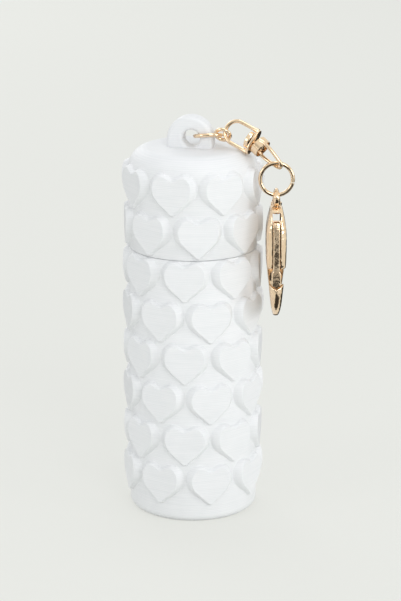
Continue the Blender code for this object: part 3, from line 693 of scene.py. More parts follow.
def heart_tool() -> NodeTool:
    """Plan the tool that sets one heart round a wall in staggered rows.

    Every second row is turned by half of the angle between two hearts, and what reaches past
    the wall's edges is pressed flat there.

    Returns:
        The tool.
    """
    tool = NodeTool("Staggered rows of hearts", [
        ("Rows", "NodeSocketInt"), ("Hearts a row", "NodeSocketInt"),
        ("Row pitch", "NodeSocketFloat"), ("First turn", "NodeSocketFloat"),
        ("Lowest edge", "NodeSocketFloat"), ("Highest edge", "NodeSocketFloat"),
        ("Material", "NodeSocketMaterial")])
    tree = tool.tree
    index = add_node(tree, "GeometryNodeInputIndex")
    known = {"index": index.outputs[0]} | {label: tool.value(label) for label in tool.keys}
    for result, operation, first, second in (
            ("count", "MULTIPLY", "Rows", "Hearts a row"),
            ("full rows", "DIVIDE", "index", "Hearts a row"),
            ("row", "FLOOR", "full rows", 0.0),
            ("column", "MODULO", "index", "Hearts a row"),
            ("odd", "MODULO", "row", 2.0),
            ("stagger", "MULTIPLY", "odd", 0.5),
            ("place", "ADD", "column", "stagger"),
            ("spacing", "DIVIDE", math.tau, "Hearts a row"),
            ("turn in row", "MULTIPLY", "place", "spacing"),
            ("turn", "ADD", "First turn", "turn in row"),
            ("height", "MULTIPLY", "row", "Row pitch")):
        known[result] = add_node(tree, "ShaderNodeMath", {"operation": operation}, {
            0: known.get(first, first), 1: known.get(second, second)}).outputs[0]
    place = add_node(tree, "ShaderNodeCombineXYZ", {}, {"Z": known["height"]})
    points = add_node(tree, "GeometryNodePoints", {}, {
        "Count": known["count"], "Position": place.outputs[0]})
    spin = add_node(tree, "ShaderNodeCombineXYZ", {}, {"Z": known["turn"]})
    rotation = add_node(tree, "FunctionNodeEulerToRotation", {}, {0: spin.outputs[0]})
    hearts = add_node(tree, "GeometryNodeInstanceOnPoints", {}, {
        "Points": points.outputs[0], "Instance": tool.value("Geometry"),
        "Rotation": rotation.outputs[0]})
    real = add_node(tree, "GeometryNodeRealizeInstances", {}, {0: hearts.outputs[0]})
    position = add_node(tree, "GeometryNodeInputPosition")
    where = add_node(tree, "ShaderNodeSeparateXYZ", {}, {0: position.outputs[0]})
    kept = where.outputs["Z"]
    for operation, edge in (("MAXIMUM", "Lowest edge"), ("MINIMUM", "Highest edge")):
        kept = add_node(tree, "ShaderNodeMath", {"operation": operation}, {
            0: kept, 1: tool.value(edge)}).outputs[0]
    trimmed = add_node(tree, "ShaderNodeCombineXYZ", {}, {
        "X": where.outputs["X"], "Y": where.outputs["Y"], "Z": kept})
    moved = add_node(tree, "GeometryNodeSetPosition", {}, {
        "Geometry": real.outputs[0], "Position": trimmed.outputs[0]})
    tool.end(moved.outputs[0])
    return tool


class Bench:
    """The materials and node tools that all pieces share, and the way a piece is handed in."""

    def __init__(self) -> None:
        """Make the finishes and the node trees."""
        self.print = PrintedPla().material()
        self.wire = PlatedZinc().material()
        self.cast = PlatedZinc("polished_gold_casting", roughness=0.14,
                               waviness=0.05 * MM, grain=2.4 * MM).material()
        self.rough = PlatedZinc("tumbled_gold_casting", roughness=0.16,
                                waviness=0.2 * MM, relief=0.7, grain=1.3 * MM).material()
        self.steel = PlatedZinc("gilt_spring_wire", "#EBCB9C", "#D5A473", 0.2).material()
        self.wires = wire_tool()
        self.hearts = heart_tool()

    def draw_wire(self, name: str, points: Sequence[Vector], radii: Sequence[float] | float,
                  closed: bool = False, sides: int = 20,
                  material: bpy.types.Material | None = None) -> bpy.types.Mesh:
        """Draw round wire along a route with the wire tool.

        Args:
            name: The mesh's name.
            points: The route in the row frame.
            radii: Radius of the wire, or one for each point.
            closed: Whether the route closes.
            sides: Facets round the wire.
            material: Its finish, or None for the polished wire.

        Returns:
            The wire's mesh.
        """
        curve = bpy.data.curves.new(name, "CURVE")
        curve.dimensions = "3D"
        spline = curve.splines.new("POLY")
        spline.points.add(len(points) - 1)
        for index, place in enumerate(points):
            spline.points[index].co = (*place, 1.0)
            spline.points[index].radius = radii if isinstance(radii, float) else radii[index]
        spline.use_cyclic_u = closed
        mesh = self.wires.run(new_object(name, curve), name,
                              {"Sides": sides, "Material": material or self.wire})
        return tidy_mesh(mesh, sharp=50.0)

    def hand_in(self, name: str, meshes: Sequence[bpy.types.Mesh], body: Body, slot: Slot,
                material: bpy.types.Material, nodes: Sequence[str]) -> bpy.types.Object:
        """Make one piece of some meshes, dress it and put it on its body.

        Args:
            name: The piece's name.
            meshes: Its closed shells in the row frame.
            body: The CAD body that it rides on.
            slot: The record's slot for the piece; it is not used.
            material: Its finish.
            nodes: The CAD nodes that it stands for.

        Returns:
            The piece.
        """
        mesh = joined(name, meshes) if len(meshes) > 1 else meshes[0]
        mesh.materials.clear()
        mesh.materials.append(material)
        mesh.polygons.foreach_set("material_index", [0] * len(mesh.polygons))
        piece = new_object(name, mesh)
        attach(piece, body.value)
        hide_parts(*nodes)
        LOG.info("%s rides on %s: %d faces", name, body.value, len(mesh.polygons))
        return piece


@dataclass
class HeartRelief:
    """One raised heart: a flat face, a soft edge, and sides that run out into the wall.

    The face and the wall are distances from the case's axis. The sides run out by the draft for
    each unit of depth, and by the top draft where they face up. The bulge draws the side's curve
    out, in shares of its run and of its depth. The lobes are in shares of the half width and of
    the height.
    """

    width: float = 9.85 * MM
    height: float = 9.5 * MM
    face: float = 17.02 * MM
    wall: float = 16.0 * MM
    draft: float = 0.47
    top_draft: float = 0.52
    bulge: Point = (0.64, 0.30)
    fillet: float = 0.18 * MM
    sunk: float = 0.3 * MM
    root_share: float = 1.3
    halvings: int = 30
    notch_fill: float = 0.4
    notch_reach: float = 1.0 * MM
    evened: int = 4
    middle_share: float = 0.6
    notch_share: float = 0.88
    lobe_shares: tuple[Point, ...] = (
        (0.11, 0.03), (0.25, 0.11), (0.47, 0.21), (0.69, 0.32), (0.88, 0.44), (0.97, 0.56),
        (1.0, 0.68), (0.97, 0.80), (0.87, 0.90), (0.73, 0.97), (0.56, 1.0), (0.37, 0.975),
        (0.19, 0.92))

    def outline(self) -> list[Point]:
        """Draw the heart's face about its middle.

        Returns:
            The outline, seen by the viewer at -Y.
        """
        half = [(0.0, 0.0), *self.lobe_shares, (0.0, self.notch_share)]
        right = [(x * self.width / 2, (z - self.middle_share) * self.height)
                 for x, z in curved(half, 3)]
        return right + [(-x, z) for x, z in reversed(right[1:-1])]

    def spreads(self, outline: Sequence[Point]) -> list[Point]:
        """Return how far each point of the outline moves out for each unit of spread.

        Args:
            outline: The heart's face.

        Returns:
            Outward steps, evened out over the point and notch so that the sides don't cross.
        """
        count, reach = len(outline), self.evened
        normals = []
        for index in range(count):
            before, after = outline[index - 1], outline[(index + 1) % count]
            normals.append(Vector((after[1] - before[1], before[0] - after[0])).normalized())
        steps = []
        for index, (x, z) in enumerate(outline):
            near = sum((normals[(index + shift) % count] for shift in range(-reach, reach + 1)),
                       Vector((0.0, 0.0))).normalized()
            notch = math.exp(-(x / self.notch_reach) ** 2) if z > 0 else 0.0
            steps.append((near.x * (1 - notch), near.y * (1 + self.notch_fill * notch)))
        return steps

    def column(self, point: Point, step: Point) -> list[Vector]:
        """Return the points from the face over one outline point down into the wall.

        Args:
            point: The outline point.
            step: Its outward step.

        Returns:
            Points with the viewer at -Y and the heart's middle at height 0.
        """
        draft = self.draft - (self.draft - self.top_draft) * max(0.0, step[1]) ** 2

        def side(depth: float) -> Vector:
            """Return the heart's side at a depth under its face."""
            out = draft * depth
            return Vector((point[0] + step[0] * out, depth - self.face, point[1] + step[1] * out))

        def on_wall(radius: float, out: float) -> Vector:
            """Return a point past the foot of the side, at a radius about the case's axis."""
            turn = math.atan2(foot.x, -foot.y) + step[0] * out / self.wall
            return Vector((radius * math.sin(turn), -radius * math.cos(turn),
                           foot.z + step[1] * out))

        # The side meets the wall well before a third of the face's distance from the axis.
        low, high = 0.0, self.face / 3
        for _ in range(self.halvings):
            depth = (low + high) / 2
            place = side(depth)
            low, high = (depth, high) if math.hypot(place.x, place.y) > self.wall else (low, depth)
        foot, corner = side(low), side(0.0)
        out, depth = self.bulge
        bulge = corner.lerp(foot, out)
        bulge.y = corner.y + depth * (foot.y - corner.y)
        down = (foot - bulge).normalized()
        inward = Vector((-step[0], 0.0, -step[1])).normalized()
        column = [corner + inward * self.fillet]
        column += bent(corner, bulge, foot - down * self.fillet, 6)
        column += bent(foot - down * self.fillet, foot, on_wall(self.wall, self.fillet), 2)[1:]
        column.append(on_wall(self.wall - self.sunk, self.root_share * self.fillet))
        return column

    def mesh(self, height: float) -> bpy.types.Mesh:
        """Build the heart as a closed shell that is rooted in the wall.

        Args:
            height: Where its middle is.

        Returns:
            The shell.
        """
        outline = self.outline()
        columns = [self.column(point, step)
                   for point, step in zip(outline, self.spreads(outline))]
        lift = Vector((0.0, 0.0, height))
        return loft("heart", [[place + lift for place in ring] for ring in zip(*columns)])


@dataclass
class HeartedShell:
    """A printed wall with staggered rows of raised hearts, as the case and the cap have."""

    bench: Bench
    radius: float = 16.0 * MM
    rim_round: float = 0.1 * MM
    rows: int = 6
    a_row: int = 8
    pitch: float = 10.6 * MM
    lowest: float = 10.66 * MM
    first_turn: float = -29.86
    heart: HeartRelief = field(default_factory=HeartRelief)

    def wall(self, profile: Sequence[Point]) -> bpy.types.Mesh:
        """Return the wall that a profile of radii and heights gives."""
        return tidy_mesh(revolved("wall", profile, Matrix(), steps=160), sharp=30.0)

    def hearts(self, lowest_edge: float, highest_edge: float) -> bpy.types.Mesh:
        """Build the rows of hearts.

        Args:
            lowest_edge: Height under which no heart reaches.
            highest_edge: Height over which no heart reaches.

        Returns:
            All hearts as one mesh.
        """
        stamp = new_object("heart", self.heart.mesh(self.lowest))
        mesh = self.bench.hearts.run(stamp, "hearts", {
            "Rows": self.rows, "Hearts a row": self.a_row, "Row pitch": self.pitch,
            "First turn": math.radians(self.first_turn), "Lowest edge": lowest_edge,
            "Highest edge": highest_edge, "Material": self.bench.print})
        return tidy_mesh(mesh, sharp=34.0)


@dataclass
class PrintedCase(HeartedShell):
    """The case that holds the lipstick: wall, floor, bore and neck, with six rows of hearts."""

    top: float = 68.02 * MM
    floor: float = 2.4 * MM
    bore: float = 12.2 * MM
    neck: float = 14.0 * MM
    neck_top: float = 76.95 * MM
    neck_lead_in: float = 0.6 * MM
    base_round: float = 1.85 * MM
    base_turn: float = 62.0
    first_layer: float = 0.5 * MM
    first_layer_shares: tuple[Point, ...] = ((0.1, 0.62), (0.2, 0.30), (0.7, 0.0))

    def profile(self) -> list[Point]:
        """Draw the wall's profile from the floor's middle, up the bore and down outside.

        Returns:
            Radii and heights.
        """
        r, rim, soft = self.radius, self.rim_round, SOFT_SHARE * self.rim_round
        inner = [(0.0, self.floor), (self.bore - rim, self.floor), (self.bore, self.floor + rim),
                 (self.bore, self.neck_top - rim), (self.bore + rim, self.neck_top)]
        neck = [(self.neck - self.neck_lead_in, self.neck_top),
                (self.neck, self.neck_top - self.neck_lead_in), (self.neck, self.top + rim),
                (self.neck + rim, self.top)]
        outer = [(r - rim, self.top), (r - soft, self.top - soft), (r, self.top - rim)]
        foot = arc((r - self.base_round, self.base_round), self.base_round, 0.0,
                   -self.base_turn, 8)
        groove = [(foot[-1][0] - inset * self.first_layer, height * self.first_layer)
                  for inset, height in self.first_layer_shares]
        return inner + neck + outer + foot + groove + [(0.0, 0.0)]

    def build(self) -> None:
        """Build the case as one piece."""
        meshes = [self.wall(self.profile()), self.hearts(0.0, self.top - self.rim_round)]
        self.bench.hand_in("printed_case", meshes, Body.CASE, Slot.PRINT, self.bench.print,
                           ["case_body"])


@dataclass
class PrintedCap(HeartedShell):
    """The pull-off cap with its rounded top, two rows of hearts and the ring lug."""

    rows: int = 2
    lowest: float = 74.68 * MM
    first_turn: float = 4.22
    mouth: float = 68.18 * MM
    top: float = 93.3 * MM
    shoulder: float = 5.0 * MM
    recess: float = 14.25 * MM
    recess_top: float = 77.25 * MM
    cavity: float = 12.2 * MM
    roof: float = 90.7 * MM
    lug_radius: float = 5.75 * MM
    lug_thickness: float = 4.7 * MM
    lug_rounding: float = 0.9 * MM
    lug_side: float = -0.5 * MM
    lug_rise: float = 2.0 * MM
    lug_sunk: float = 1.6 * MM
    lug_turn: float = 12.5
    hole_radius: float = 2.15 * MM
    hole_side: float = -0.1 * MM
    hole_rise: float = 2.3 * MM
    hole_overrun: float = 0.02 * MM

    def profile(self) -> list[Point]:
        """Draw the cap's profile from the top's middle, down outside and up the cavity.

        Returns:
            Radii and heights.
        """
        r, rim, soft = self.radius, self.rim_round, SOFT_SHARE * self.rim_round
        top = [(0.0, self.top)] + arc((r - self.shoulder, self.top - self.shoulder),
                                      self.shoulder, 90.0, 0.0, 20)
        lip = [(r, self.mouth + rim), (r - soft, self.mouth + soft), (r - rim, self.mouth),
               (self.recess + rim, self.mouth), (self.recess, self.mouth + rim)]
        inner = [(self.recess, self.recess_top), (self.cavity, self.recess_top),
                 (self.cavity, self.roof), (0.0, self.roof)]
        return top + lip + inner

    def lug(self) -> bpy.types.Mesh:
        """Build the ring lug with its rounded edges and hole.

        Returns:
            The lug, sunk into the cap's top.
        """
        at = (Matrix.Translation((0.0, 0.0, self.top))
              @ Matrix.Rotation(math.radians(-self.lug_turn), 4, "Z")
              @ Matrix.Rotation(math.radians(90.0), 4, "X"))
        outline = arc((self.lug_side, self.lug_rise), self.lug_radius, 0.0, 180.0, 40)
        outline += [(self.lug_side - self.lug_radius, -self.lug_sunk),
                    (self.lug_side + self.lug_radius, -self.lug_sunk)]
        lug = slab("lug", outline, self.lug_thickness, at, self.lug_rounding,
                   segments=5, angle=50.0)
        half, rounding = self.lug_thickness / 2, self.lug_rounding
        mouth = self.hole_radius + rounding
        front = arc((mouth, half - rounding + self.hole_overrun), rounding, 90.0, 180.0, 5)
        half_profile = [(0.0, 2 * half), (mouth, 2 * half)] + front
        profile = half_profile + [(r, -h) for r, h in reversed(half_profile)]
        place = at @ Matrix.Translation((self.hole_side, self.hole_rise, 0.0))
        hole = new_object("lug_hole", revolved("lug_hole", profile, place, steps=48))
        return tidy_mesh(finished_mesh(cut(lug, hole), "lug"), sharp=40.0)

    def build(self) -> None:
        """Build the cap as one piece."""
        meshes = [self.wall(self.profile()), self.lug(),
                  self.hearts(self.mouth + self.rim_round, self.top)]
        self.bench.hand_in("printed_cap", meshes, Body.CAP, Slot.PRINT, self.bench.print,
                           ["cap"])


@dataclass
class ChainLinks:
    """The round link in the lug's hole and the oval link after it."""

    bench: Bench
    round_wire: float = 0.5 * MM
    round_radius: float = 3.35 * MM
    round_angles: Triple = (-12.5, -5.4, 12.5)
    round_steps: int = 72
    oval_wire: float = 0.45 * MM
    oval_half_length: float = 1.875 * MM
    oval_half_width: float = 1.75 * MM
    oval_offset: Triple = (0.758 * MM, 0.357 * MM, 0.561 * MM)
    oval_angles: Triple = (-32.8, -19.6, -34.0)
    oval_steps: int = 64

    def build(self) -> None:
        """Build both links."""
        bend = pivot("link_2_swing")
        flat = frame_at(bend, self.round_angles)
        ring = [flat @ Vector((self.round_radius * (math.cos(a) - 1), 0.0,
                               self.round_radius * math.sin(a)))
                for a in whole_turn(self.round_steps)]
        oval_frame = frame_at(bend, self.oval_angles) @ Matrix.Translation(self.oval_offset)
        oval = [oval_frame @ Vector((self.oval_half_length * math.cos(a),
                                     self.oval_half_width * math.sin(a), 0.0))
                for a in whole_turn(self.oval_steps)]
        for name, body, points, wire, node in (
                ("round_link", Body.LINK_1, ring, self.round_wire, "chain_link_1"),
                ("oval_link", Body.LINK_2, oval, self.oval_wire, "chain_link_2")):
            mesh = self.bench.draw_wire(name, points, wire, closed=True)
            self.bench.hand_in(name, [mesh], body, Slot.GOLD, self.bench.wire, [node])


@dataclass
class Swivel:
    """Front loop with its plate, the rivet, and the rear loop with its disc."""

    bench: Bench
    front_angles: Triple = (-27.5, 22.3, 23.5)
    front_offset: Triple = (6.491 * MM, 0.984 * MM, -0.379 * MM)
    front_length: float = 7.84 * MM
    front_half_width: float = 2.86 * MM
    front_wire: float = 0.48 * MM
    front_side: Triple = (-0.2 * MM, -1.2 * MM, -2.6 * MM)
    front_side_share: float = 0.8
    front_foot: float = 0.6 * MM
    front_foot_share: float = 1.35
    front_ankle: float = 2.0 * MM
    front_ankle_share: float = 1.12
    plate_half_length: float = 3.35 * MM
    plate_half_depth: float = 1.7 * MM
    plate_thickness: float = 0.7 * MM
    plate_rounding: float = 0.14 * MM
    plate_squareness: float = 0.8
    rivet_gap: float = 0.15 * MM
    rivet_play: float = 0.53 * MM
    rivet_rounding: float = 0.12 * MM
    rivet_soft_share: float = 0.6
    collar_radius: float = 2.1 * MM
    collar_length: float = 1.15 * MM
    neck_radius: float = 0.5 * MM
    head_radius: float = 0.95 * MM
    head_length: float = 0.6 * MM
    rear_angles: Triple = (-34.2, 34.8, -27.0)
    rear_distance: float = 1.5 * MM
    rear_disc_radius: float = 2.4 * MM
    rear_disc_thickness: float = 0.8 * MM
    rear_disc_rounding: float = 0.12 * MM
    rear_hole: float = 0.75 * MM
    cup_depth: float = 1.3 * MM
    cup_wall: float = 0.38 * MM
    rear_length: float = 7.95 * MM
    rear_wire: float = 0.45 * MM
    rear_foot_wire: float = 0.6 * MM
    rear_foot: float = 2.4 * MM
    rear_end_radius: float = 1.3 * MM
    rear_end_turn: float = 68.0
    rear_side: tuple[Point, ...] = (
        (-0.1 * MM, 1.85 * MM), (0.7 * MM, 2.12 * MM), (1.6 * MM, 2.33 * MM),
        (3.18 * MM, 2.35 * MM), (4.77 * MM, 1.98 * MM), (6.0 * MM, 1.6 * MM))

    def plate_frame(self) -> Matrix:
        """Return the frame of the front plate, whose X is the swivel's axis."""
        return (frame_at(pivot("front_loop_swing"), self.front_angles)
                @ Matrix.Translation(self.front_offset))

    def build_front(self) -> None:
        """Build the D-shaped loop, which thickens toward its feet, and its plate."""
        plate = self.plate_frame()
        half = self.front_half_width
        bend_at = self.front_length - half
        side = [(x, half) for x in (*self.front_side, -self.front_side_share * bend_at)]
        bend = arc((-bend_at, 0.0), half, 90.0, 270.0, 24)
        route = side + bend + [(x, -y) for x, y in reversed(side)]
        points = [plate @ Vector((x, y, 0.0)) for x, y in route]
        radii = [self.front_wire * (self.front_foot_share if x > -self.front_foot else
                                    self.front_ankle_share if x > -self.front_ankle else 1.0)
                 for x, _ in route]
        loop = self.bench.draw_wire("front_loop", points, radii, material=self.bench.cast)
        oval = [tuple(size * math.copysign(abs(share) ** self.plate_squareness, share)
                      for size, share in ((self.plate_half_depth, math.cos(a)),
                                          (self.plate_half_length, math.sin(a))))
                for a in whole_turn(64)]
        lying = plate @ Matrix.Rotation(math.radians(90.0), 4, "Y")
        body = slab("plate", oval, self.plate_thickness, lying, self.plate_rounding)
        body = cut(body, rod("plate_hole", self.neck_radius + self.rivet_gap,
                             4 * self.plate_thickness, lying))
        mesh = tidy_mesh(finished_mesh(body, "plate"), sharp=35.0)
        self.bench.hand_in("swivel_front", [loop, mesh], Body.FRONT_LOOP, Slot.GOLD,
                           self.bench.cast, ["swivel_front_loop"])

    def build_rivet(self) -> None:
        """Build the rivet: collar in front, neck through both halves, head behind."""
        collar = self.plate_thickness / 2 + self.rivet_gap
        head = self.rear_distance + self.rear_disc_thickness / 2 + self.rivet_play
        soft = self.rivet_rounding
        edge = self.rivet_soft_share * soft
        r, n, h = self.collar_radius, self.neck_radius, self.head_radius
        outer = collar + self.collar_length
        tail = head + self.head_length
        profile = [(0.0, outer), (r - 2 * soft, outer), (r - edge, outer - edge),
                   (r, outer - 2 * soft), (r, collar + soft), (r - soft, collar), (n, collar),
                   (n, -head), (h - soft, -head), (h, -head - soft), (h, -tail + 2 * soft),
                   (h - soft, -tail + edge), (h - 3 * soft, -tail), (0.0, -tail)]
        at = self.plate_frame() @ Matrix.Rotation(math.radians(-90.0), 4, "Y")
        mesh = tidy_mesh(revolved("rivet", profile, at, steps=40), sharp=40.0)
        self.bench.hand_in("swivel_rivet_pin", [mesh], Body.FRONT_LOOP, Slot.GOLD,
                           self.bench.cast, ["swivel_rivet"])

    def build_rear(self) -> None:
        """Build the disc on the rivet and the tapering loop behind it."""
        middle = self.plate_frame() @ Vector((self.rear_distance, 0.0, 0.0))
        at = frame_at(middle, self.rear_angles)
        end = self.rear_length - self.rear_end_radius
        side = curved(self.rear_side, 3)
        bend = arc((end, 0.0), self.rear_end_radius, self.rear_end_turn, -self.rear_end_turn, 14)
        route = side + bend + [(x, -y) for x, y in reversed(side)]
        points = [at @ Vector((x, y, 0.0)) for x, y in route]
        taper = self.rear_foot_wire - self.rear_wire
        radii = [self.rear_wire + taper * max(0.0, 1 - x / self.rear_foot) for x, _ in route]
        loop = self.bench.draw_wire("rear_loop", points, radii, material=self.bench.cast)
        half, rim = self.rear_disc_thickness / 2, self.rear_disc_rounding
        hole, outer = self.rear_hole, self.rear_disc_radius
        lip, inner = half + self.cup_depth, outer - self.cup_wall
        profile = [(hole, half), (inner, half), (inner, lip), (outer - rim, lip),
                   (outer, lip - rim), (outer, rim - half), (outer - rim, -half), (hole, -half)]
        turned = at @ Matrix.Rotation(math.radians(90.0), 4, "Y")
        disc = tidy_mesh(revolved("disc", profile, turned, steps=48, closed=True), sharp=35.0)
        self.bench.hand_in("swivel_rear", [loop, disc], Body.REAR_LOOP, Slot.GOLD,
                           self.bench.cast, ["swivel_rear_loop"])

    def build(self) -> None:
        """Build the swivel's three pieces."""
        self.build_front()
        self.build_rivet()
        self.build_rear()


@dataclass
class HangingClasp:
    """The jump ring and the lobster clasp with its eye, lever, pin and spring.

    The outlines of the hook and the lever are in millimetres, like a drawing: breadth toward the
    gate and depth below the hook's top. In the edge view the first number is the half width.
    """

    bench: Bench
    ring_radius: float = 4.0 * MM
    ring_wire: float = 0.5 * MM
    ring_hang: Triple = (-0.98 * MM, 0.99 * MM, -3.38 * MM)
    ring_cut: float = -12.0
    ring_gap: float = 0.25 * MM
    eye_radius: float = 1.75 * MM
    eye_drop: float = 0.47 * MM
    eye_turn: float = -25.0
    eye_foot: float = 0.8 * MM
    eye_wire: float = 0.45 * MM
    eye_swell: float = 0.4 * MM
    eye_flare: float = 0.15 * MM
    eye_flare_share: float = 0.8
    eye_base_top: float = -1.7 * MM
    eye_base_under: float = -2.6 * MM
    eye_base_radius: float = 1.35 * MM
    eye_rounding: float = 0.12 * MM
    stem_radius: float = 0.6 * MM
    head_top: float = -4.1 * MM
    head_radius: float = 1.02 * MM
    head_thickness: float = 0.5 * MM
    slot_width: float = 2.0 * MM
    bridge: float = 0.9 * MM
    window_bottom: float = 4.6 * MM
    slot_back: float = 0.8 * MM
    slot_bottom: float = 15.6 * MM
    stem_hole: float = 0.75 * MM
    lever_thickness: float = 1.7 * MM
    pin_breadth: float = 3.1 * MM
    pin_depth: float = 12.6 * MM
    pin_radius: float = 0.45 * MM
    pin_hole: float = 0.55 * MM
    pin_length: float = 4.68 * MM
    pin_dome: float = 0.03 * MM
    pin_dome_share: float = 0.6
    pin_rounding: float = 0.12 * MM
    spring_wire: float = 0.13 * MM
    spring_radius: float = 0.85 * MM
    spring_pitch: float = 0.3 * MM
    spring_turns: float = 2.25
    spring_steps: int = 20
    spring_notch: float = 1.3 * MM
    stock: float = 8 * MM
    cutter_reach: float = 40 * MM
    corner: float = 0.65 * MM
    lever_corner: float = 0.3 * MM
    lever_rounding: float = 0.34 * MM
    crown: float = 0.25
    coarse: float = 0.18 * MM
    doming: int = 9
    fine: float = 0.12 * MM
    polish: int = 16
    notch_side: Point = (3.0, 17.65)
    notch_top: float = 17.0
    notch_bottom: float = 19.7
    notch_breadth: float = 6.0
    notch_reach: float = 5 * MM
    gate_gap: float = 0.25
    gate_half_width: float = 1.2
    gate_top: Point = (15.1, 15.8)
    lever_top: float = 2.0
    spine: tuple[Point, ...] = (
        (-2.4, 0.0), (-3.9, 2.2), (-4.6, 6.0), (-5.2, 10.5), (-5.9, 15.5), (-6.3, 19.8),
        (-5.7, 23.4), (-3.9, 26.2), (-1.2, 27.5), (1.2, 27.5), (3.9, 26.4), (5.7, 24.2),
        (6.4, 21.4), (6.3, 19.9), (6.15, 18.3))
    mouth: tuple[Point, ...] = (
        (4.3, 18.4), (4.45, 20.4), (3.7, 22.2), (1.9, 23.5), (-0.3, 23.2), (-1.9, 21.2),
        (-2.1, 18.4), (-0.6, 15.6), (2.4, 14.9))
    gate_side: tuple[Point, ...] = (
        (5.2, 14.8), (5.5, 13.6), (5.4, 9.5), (4.9, 4.95), (4.0, 1.6), (2.4, 0.0))
    edge_view: tuple[Point, ...] = (
        (1.47, 0.0), (1.75, 1.5), (2.3, 4.26), (2.5, 7.0), (2.43, 12.8), (2.15, 16.0),
        (1.65, 20.5), (1.38, 23.4), (1.0, 25.7), (0.6, 27.5))
    lever_front: tuple[Point, ...] = (
        (4.2, 3.1), (4.8, 5.2), (5.25, 9.5), (5.4, 13.2), (5.7, 16.0), (6.05, 19.6))
    lever_back: tuple[Point, ...] = (
        (4.4, 19.6), (4.15, 16.9), (3.6, 15.5), (1.95, 14.1), (1.6, 12.6), (2.0, 11.1),
        (3.0, 9.8), (3.3, 7.0), (3.1, 3.1))

    def build_ring(self) -> None:
        """Build the cut ring."""
        centre = pivot("ring_swing") + Vector(self.ring_hang)
        gap = math.degrees(self.ring_gap / 2 / self.ring_radius)
        circle = arc((0.0, 0.0), self.ring_radius, self.ring_cut + gap,
                     self.ring_cut + 360.0 - gap, 96)
        points = [centre + Vector((x, 0.0, z)) for x, z in circle]
        mesh = self.bench.draw_wire("open_ring", points, self.ring_wire)
        self.bench.hand_in("open_jump_ring", [mesh], Body.RING, Slot.GOLD, self.bench.wire,
                           ["jump_ring"])

    def build_eye(self) -> None:
        """Build the bail round the ring, and the base, stem and head below it."""
        at = Matrix.Translation(pivot("eye_swing"))
        side = arc((0.0, -self.eye_drop), self.eye_radius, self.eye_turn, 90.0, 14)
        route = [(self.eye_foot, self.eye_base_top)] + side
        route += [(-y, z) for y, z in reversed(route[:-1])]
        top, flare = self.eye_radius - self.eye_drop, self.eye_flare_share
        shares = [(top - z) / (top - self.eye_base_top) for _, z in route]
        radii = [self.eye_wire + self.eye_swell * min(1.0, 2 * share)
                 + self.eye_flare * max(0.0, share - flare) / (1 - flare) for share in shares]
        points = [at @ Vector((0.0, y, z)) for y, z in route]
        bail = self.bench.draw_wire("bail", points, radii, material=self.bench.cast)
        soft, r, s = self.eye_rounding, self.eye_base_radius, self.stem_radius
        top, under = self.eye_base_top, self.eye_base_under
        h, head, low = self.head_radius, self.head_top, self.head_top - self.head_thickness
        profile = [(0.0, top), (r - 2 * soft, top), (r, top - soft), (r, under + soft),
                   (r - soft, under), (s, under), (s, head), (h - soft, head), (h, head - soft),
                   (h, low + soft), (h - soft, low), (0.0, low)]
        stem = tidy_mesh(revolved("stem", profile, at, steps=40), sharp=40.0)
        self.bench.hand_in("clasp_bail", [bail, stem], Body.EYE, Slot.GOLD, self.bench.cast,
                           ["clasp_eye"])

    def plane(self) -> Matrix:
        """Return the clasp's flat frame: X toward the gate, Y down from its top, Z across."""
        return Matrix.Translation(pivot("clasp_turn")) @ Matrix((
            (0.0, 0.0, 1.0, 0.0), (-1.0, 0.0, 0.0, 0.0), (0.0, -1.0, 0.0, 0.0),
            (0.0, 0.0, 0.0, 1.0)))

    def across(self, breadth: float) -> Matrix:
        """Return a frame whose X and Y are the edge view's, at a breadth in millimetres."""
        return (self.plane() @ Matrix.Translation((breadth * MM, 0.0, 0.0))
                @ Matrix.Rotation(math.radians(-90.0), 4, "Y"))

    def crowned(self, item: bpy.types.Object) -> bpy.types.Object:
        """Draw the hook's edges in toward its middle line, so that its faces are domed.

        Args:
            item: The hook as a solid, which is replaced.

        Returns:
            The domed hook.
        """
        down = [(y * MM, x * MM) for x, y in curved(self.edge_view, 2)]
        at = self.plane()
        mesh = finished_mesh(item, item.name)
        mesh.transform(at.inverted())
        for vertex in mesh.vertices:
            wide = next((w for y, w in reversed(down) if y <= vertex.co.y), down[0][1])
            share = min(1.0, abs(vertex.co.z) / wide)
            vertex.co.x *= 1.0 - self.crown * share ** 2
        mesh.transform(at)
        return new_object("clasp", mesh)

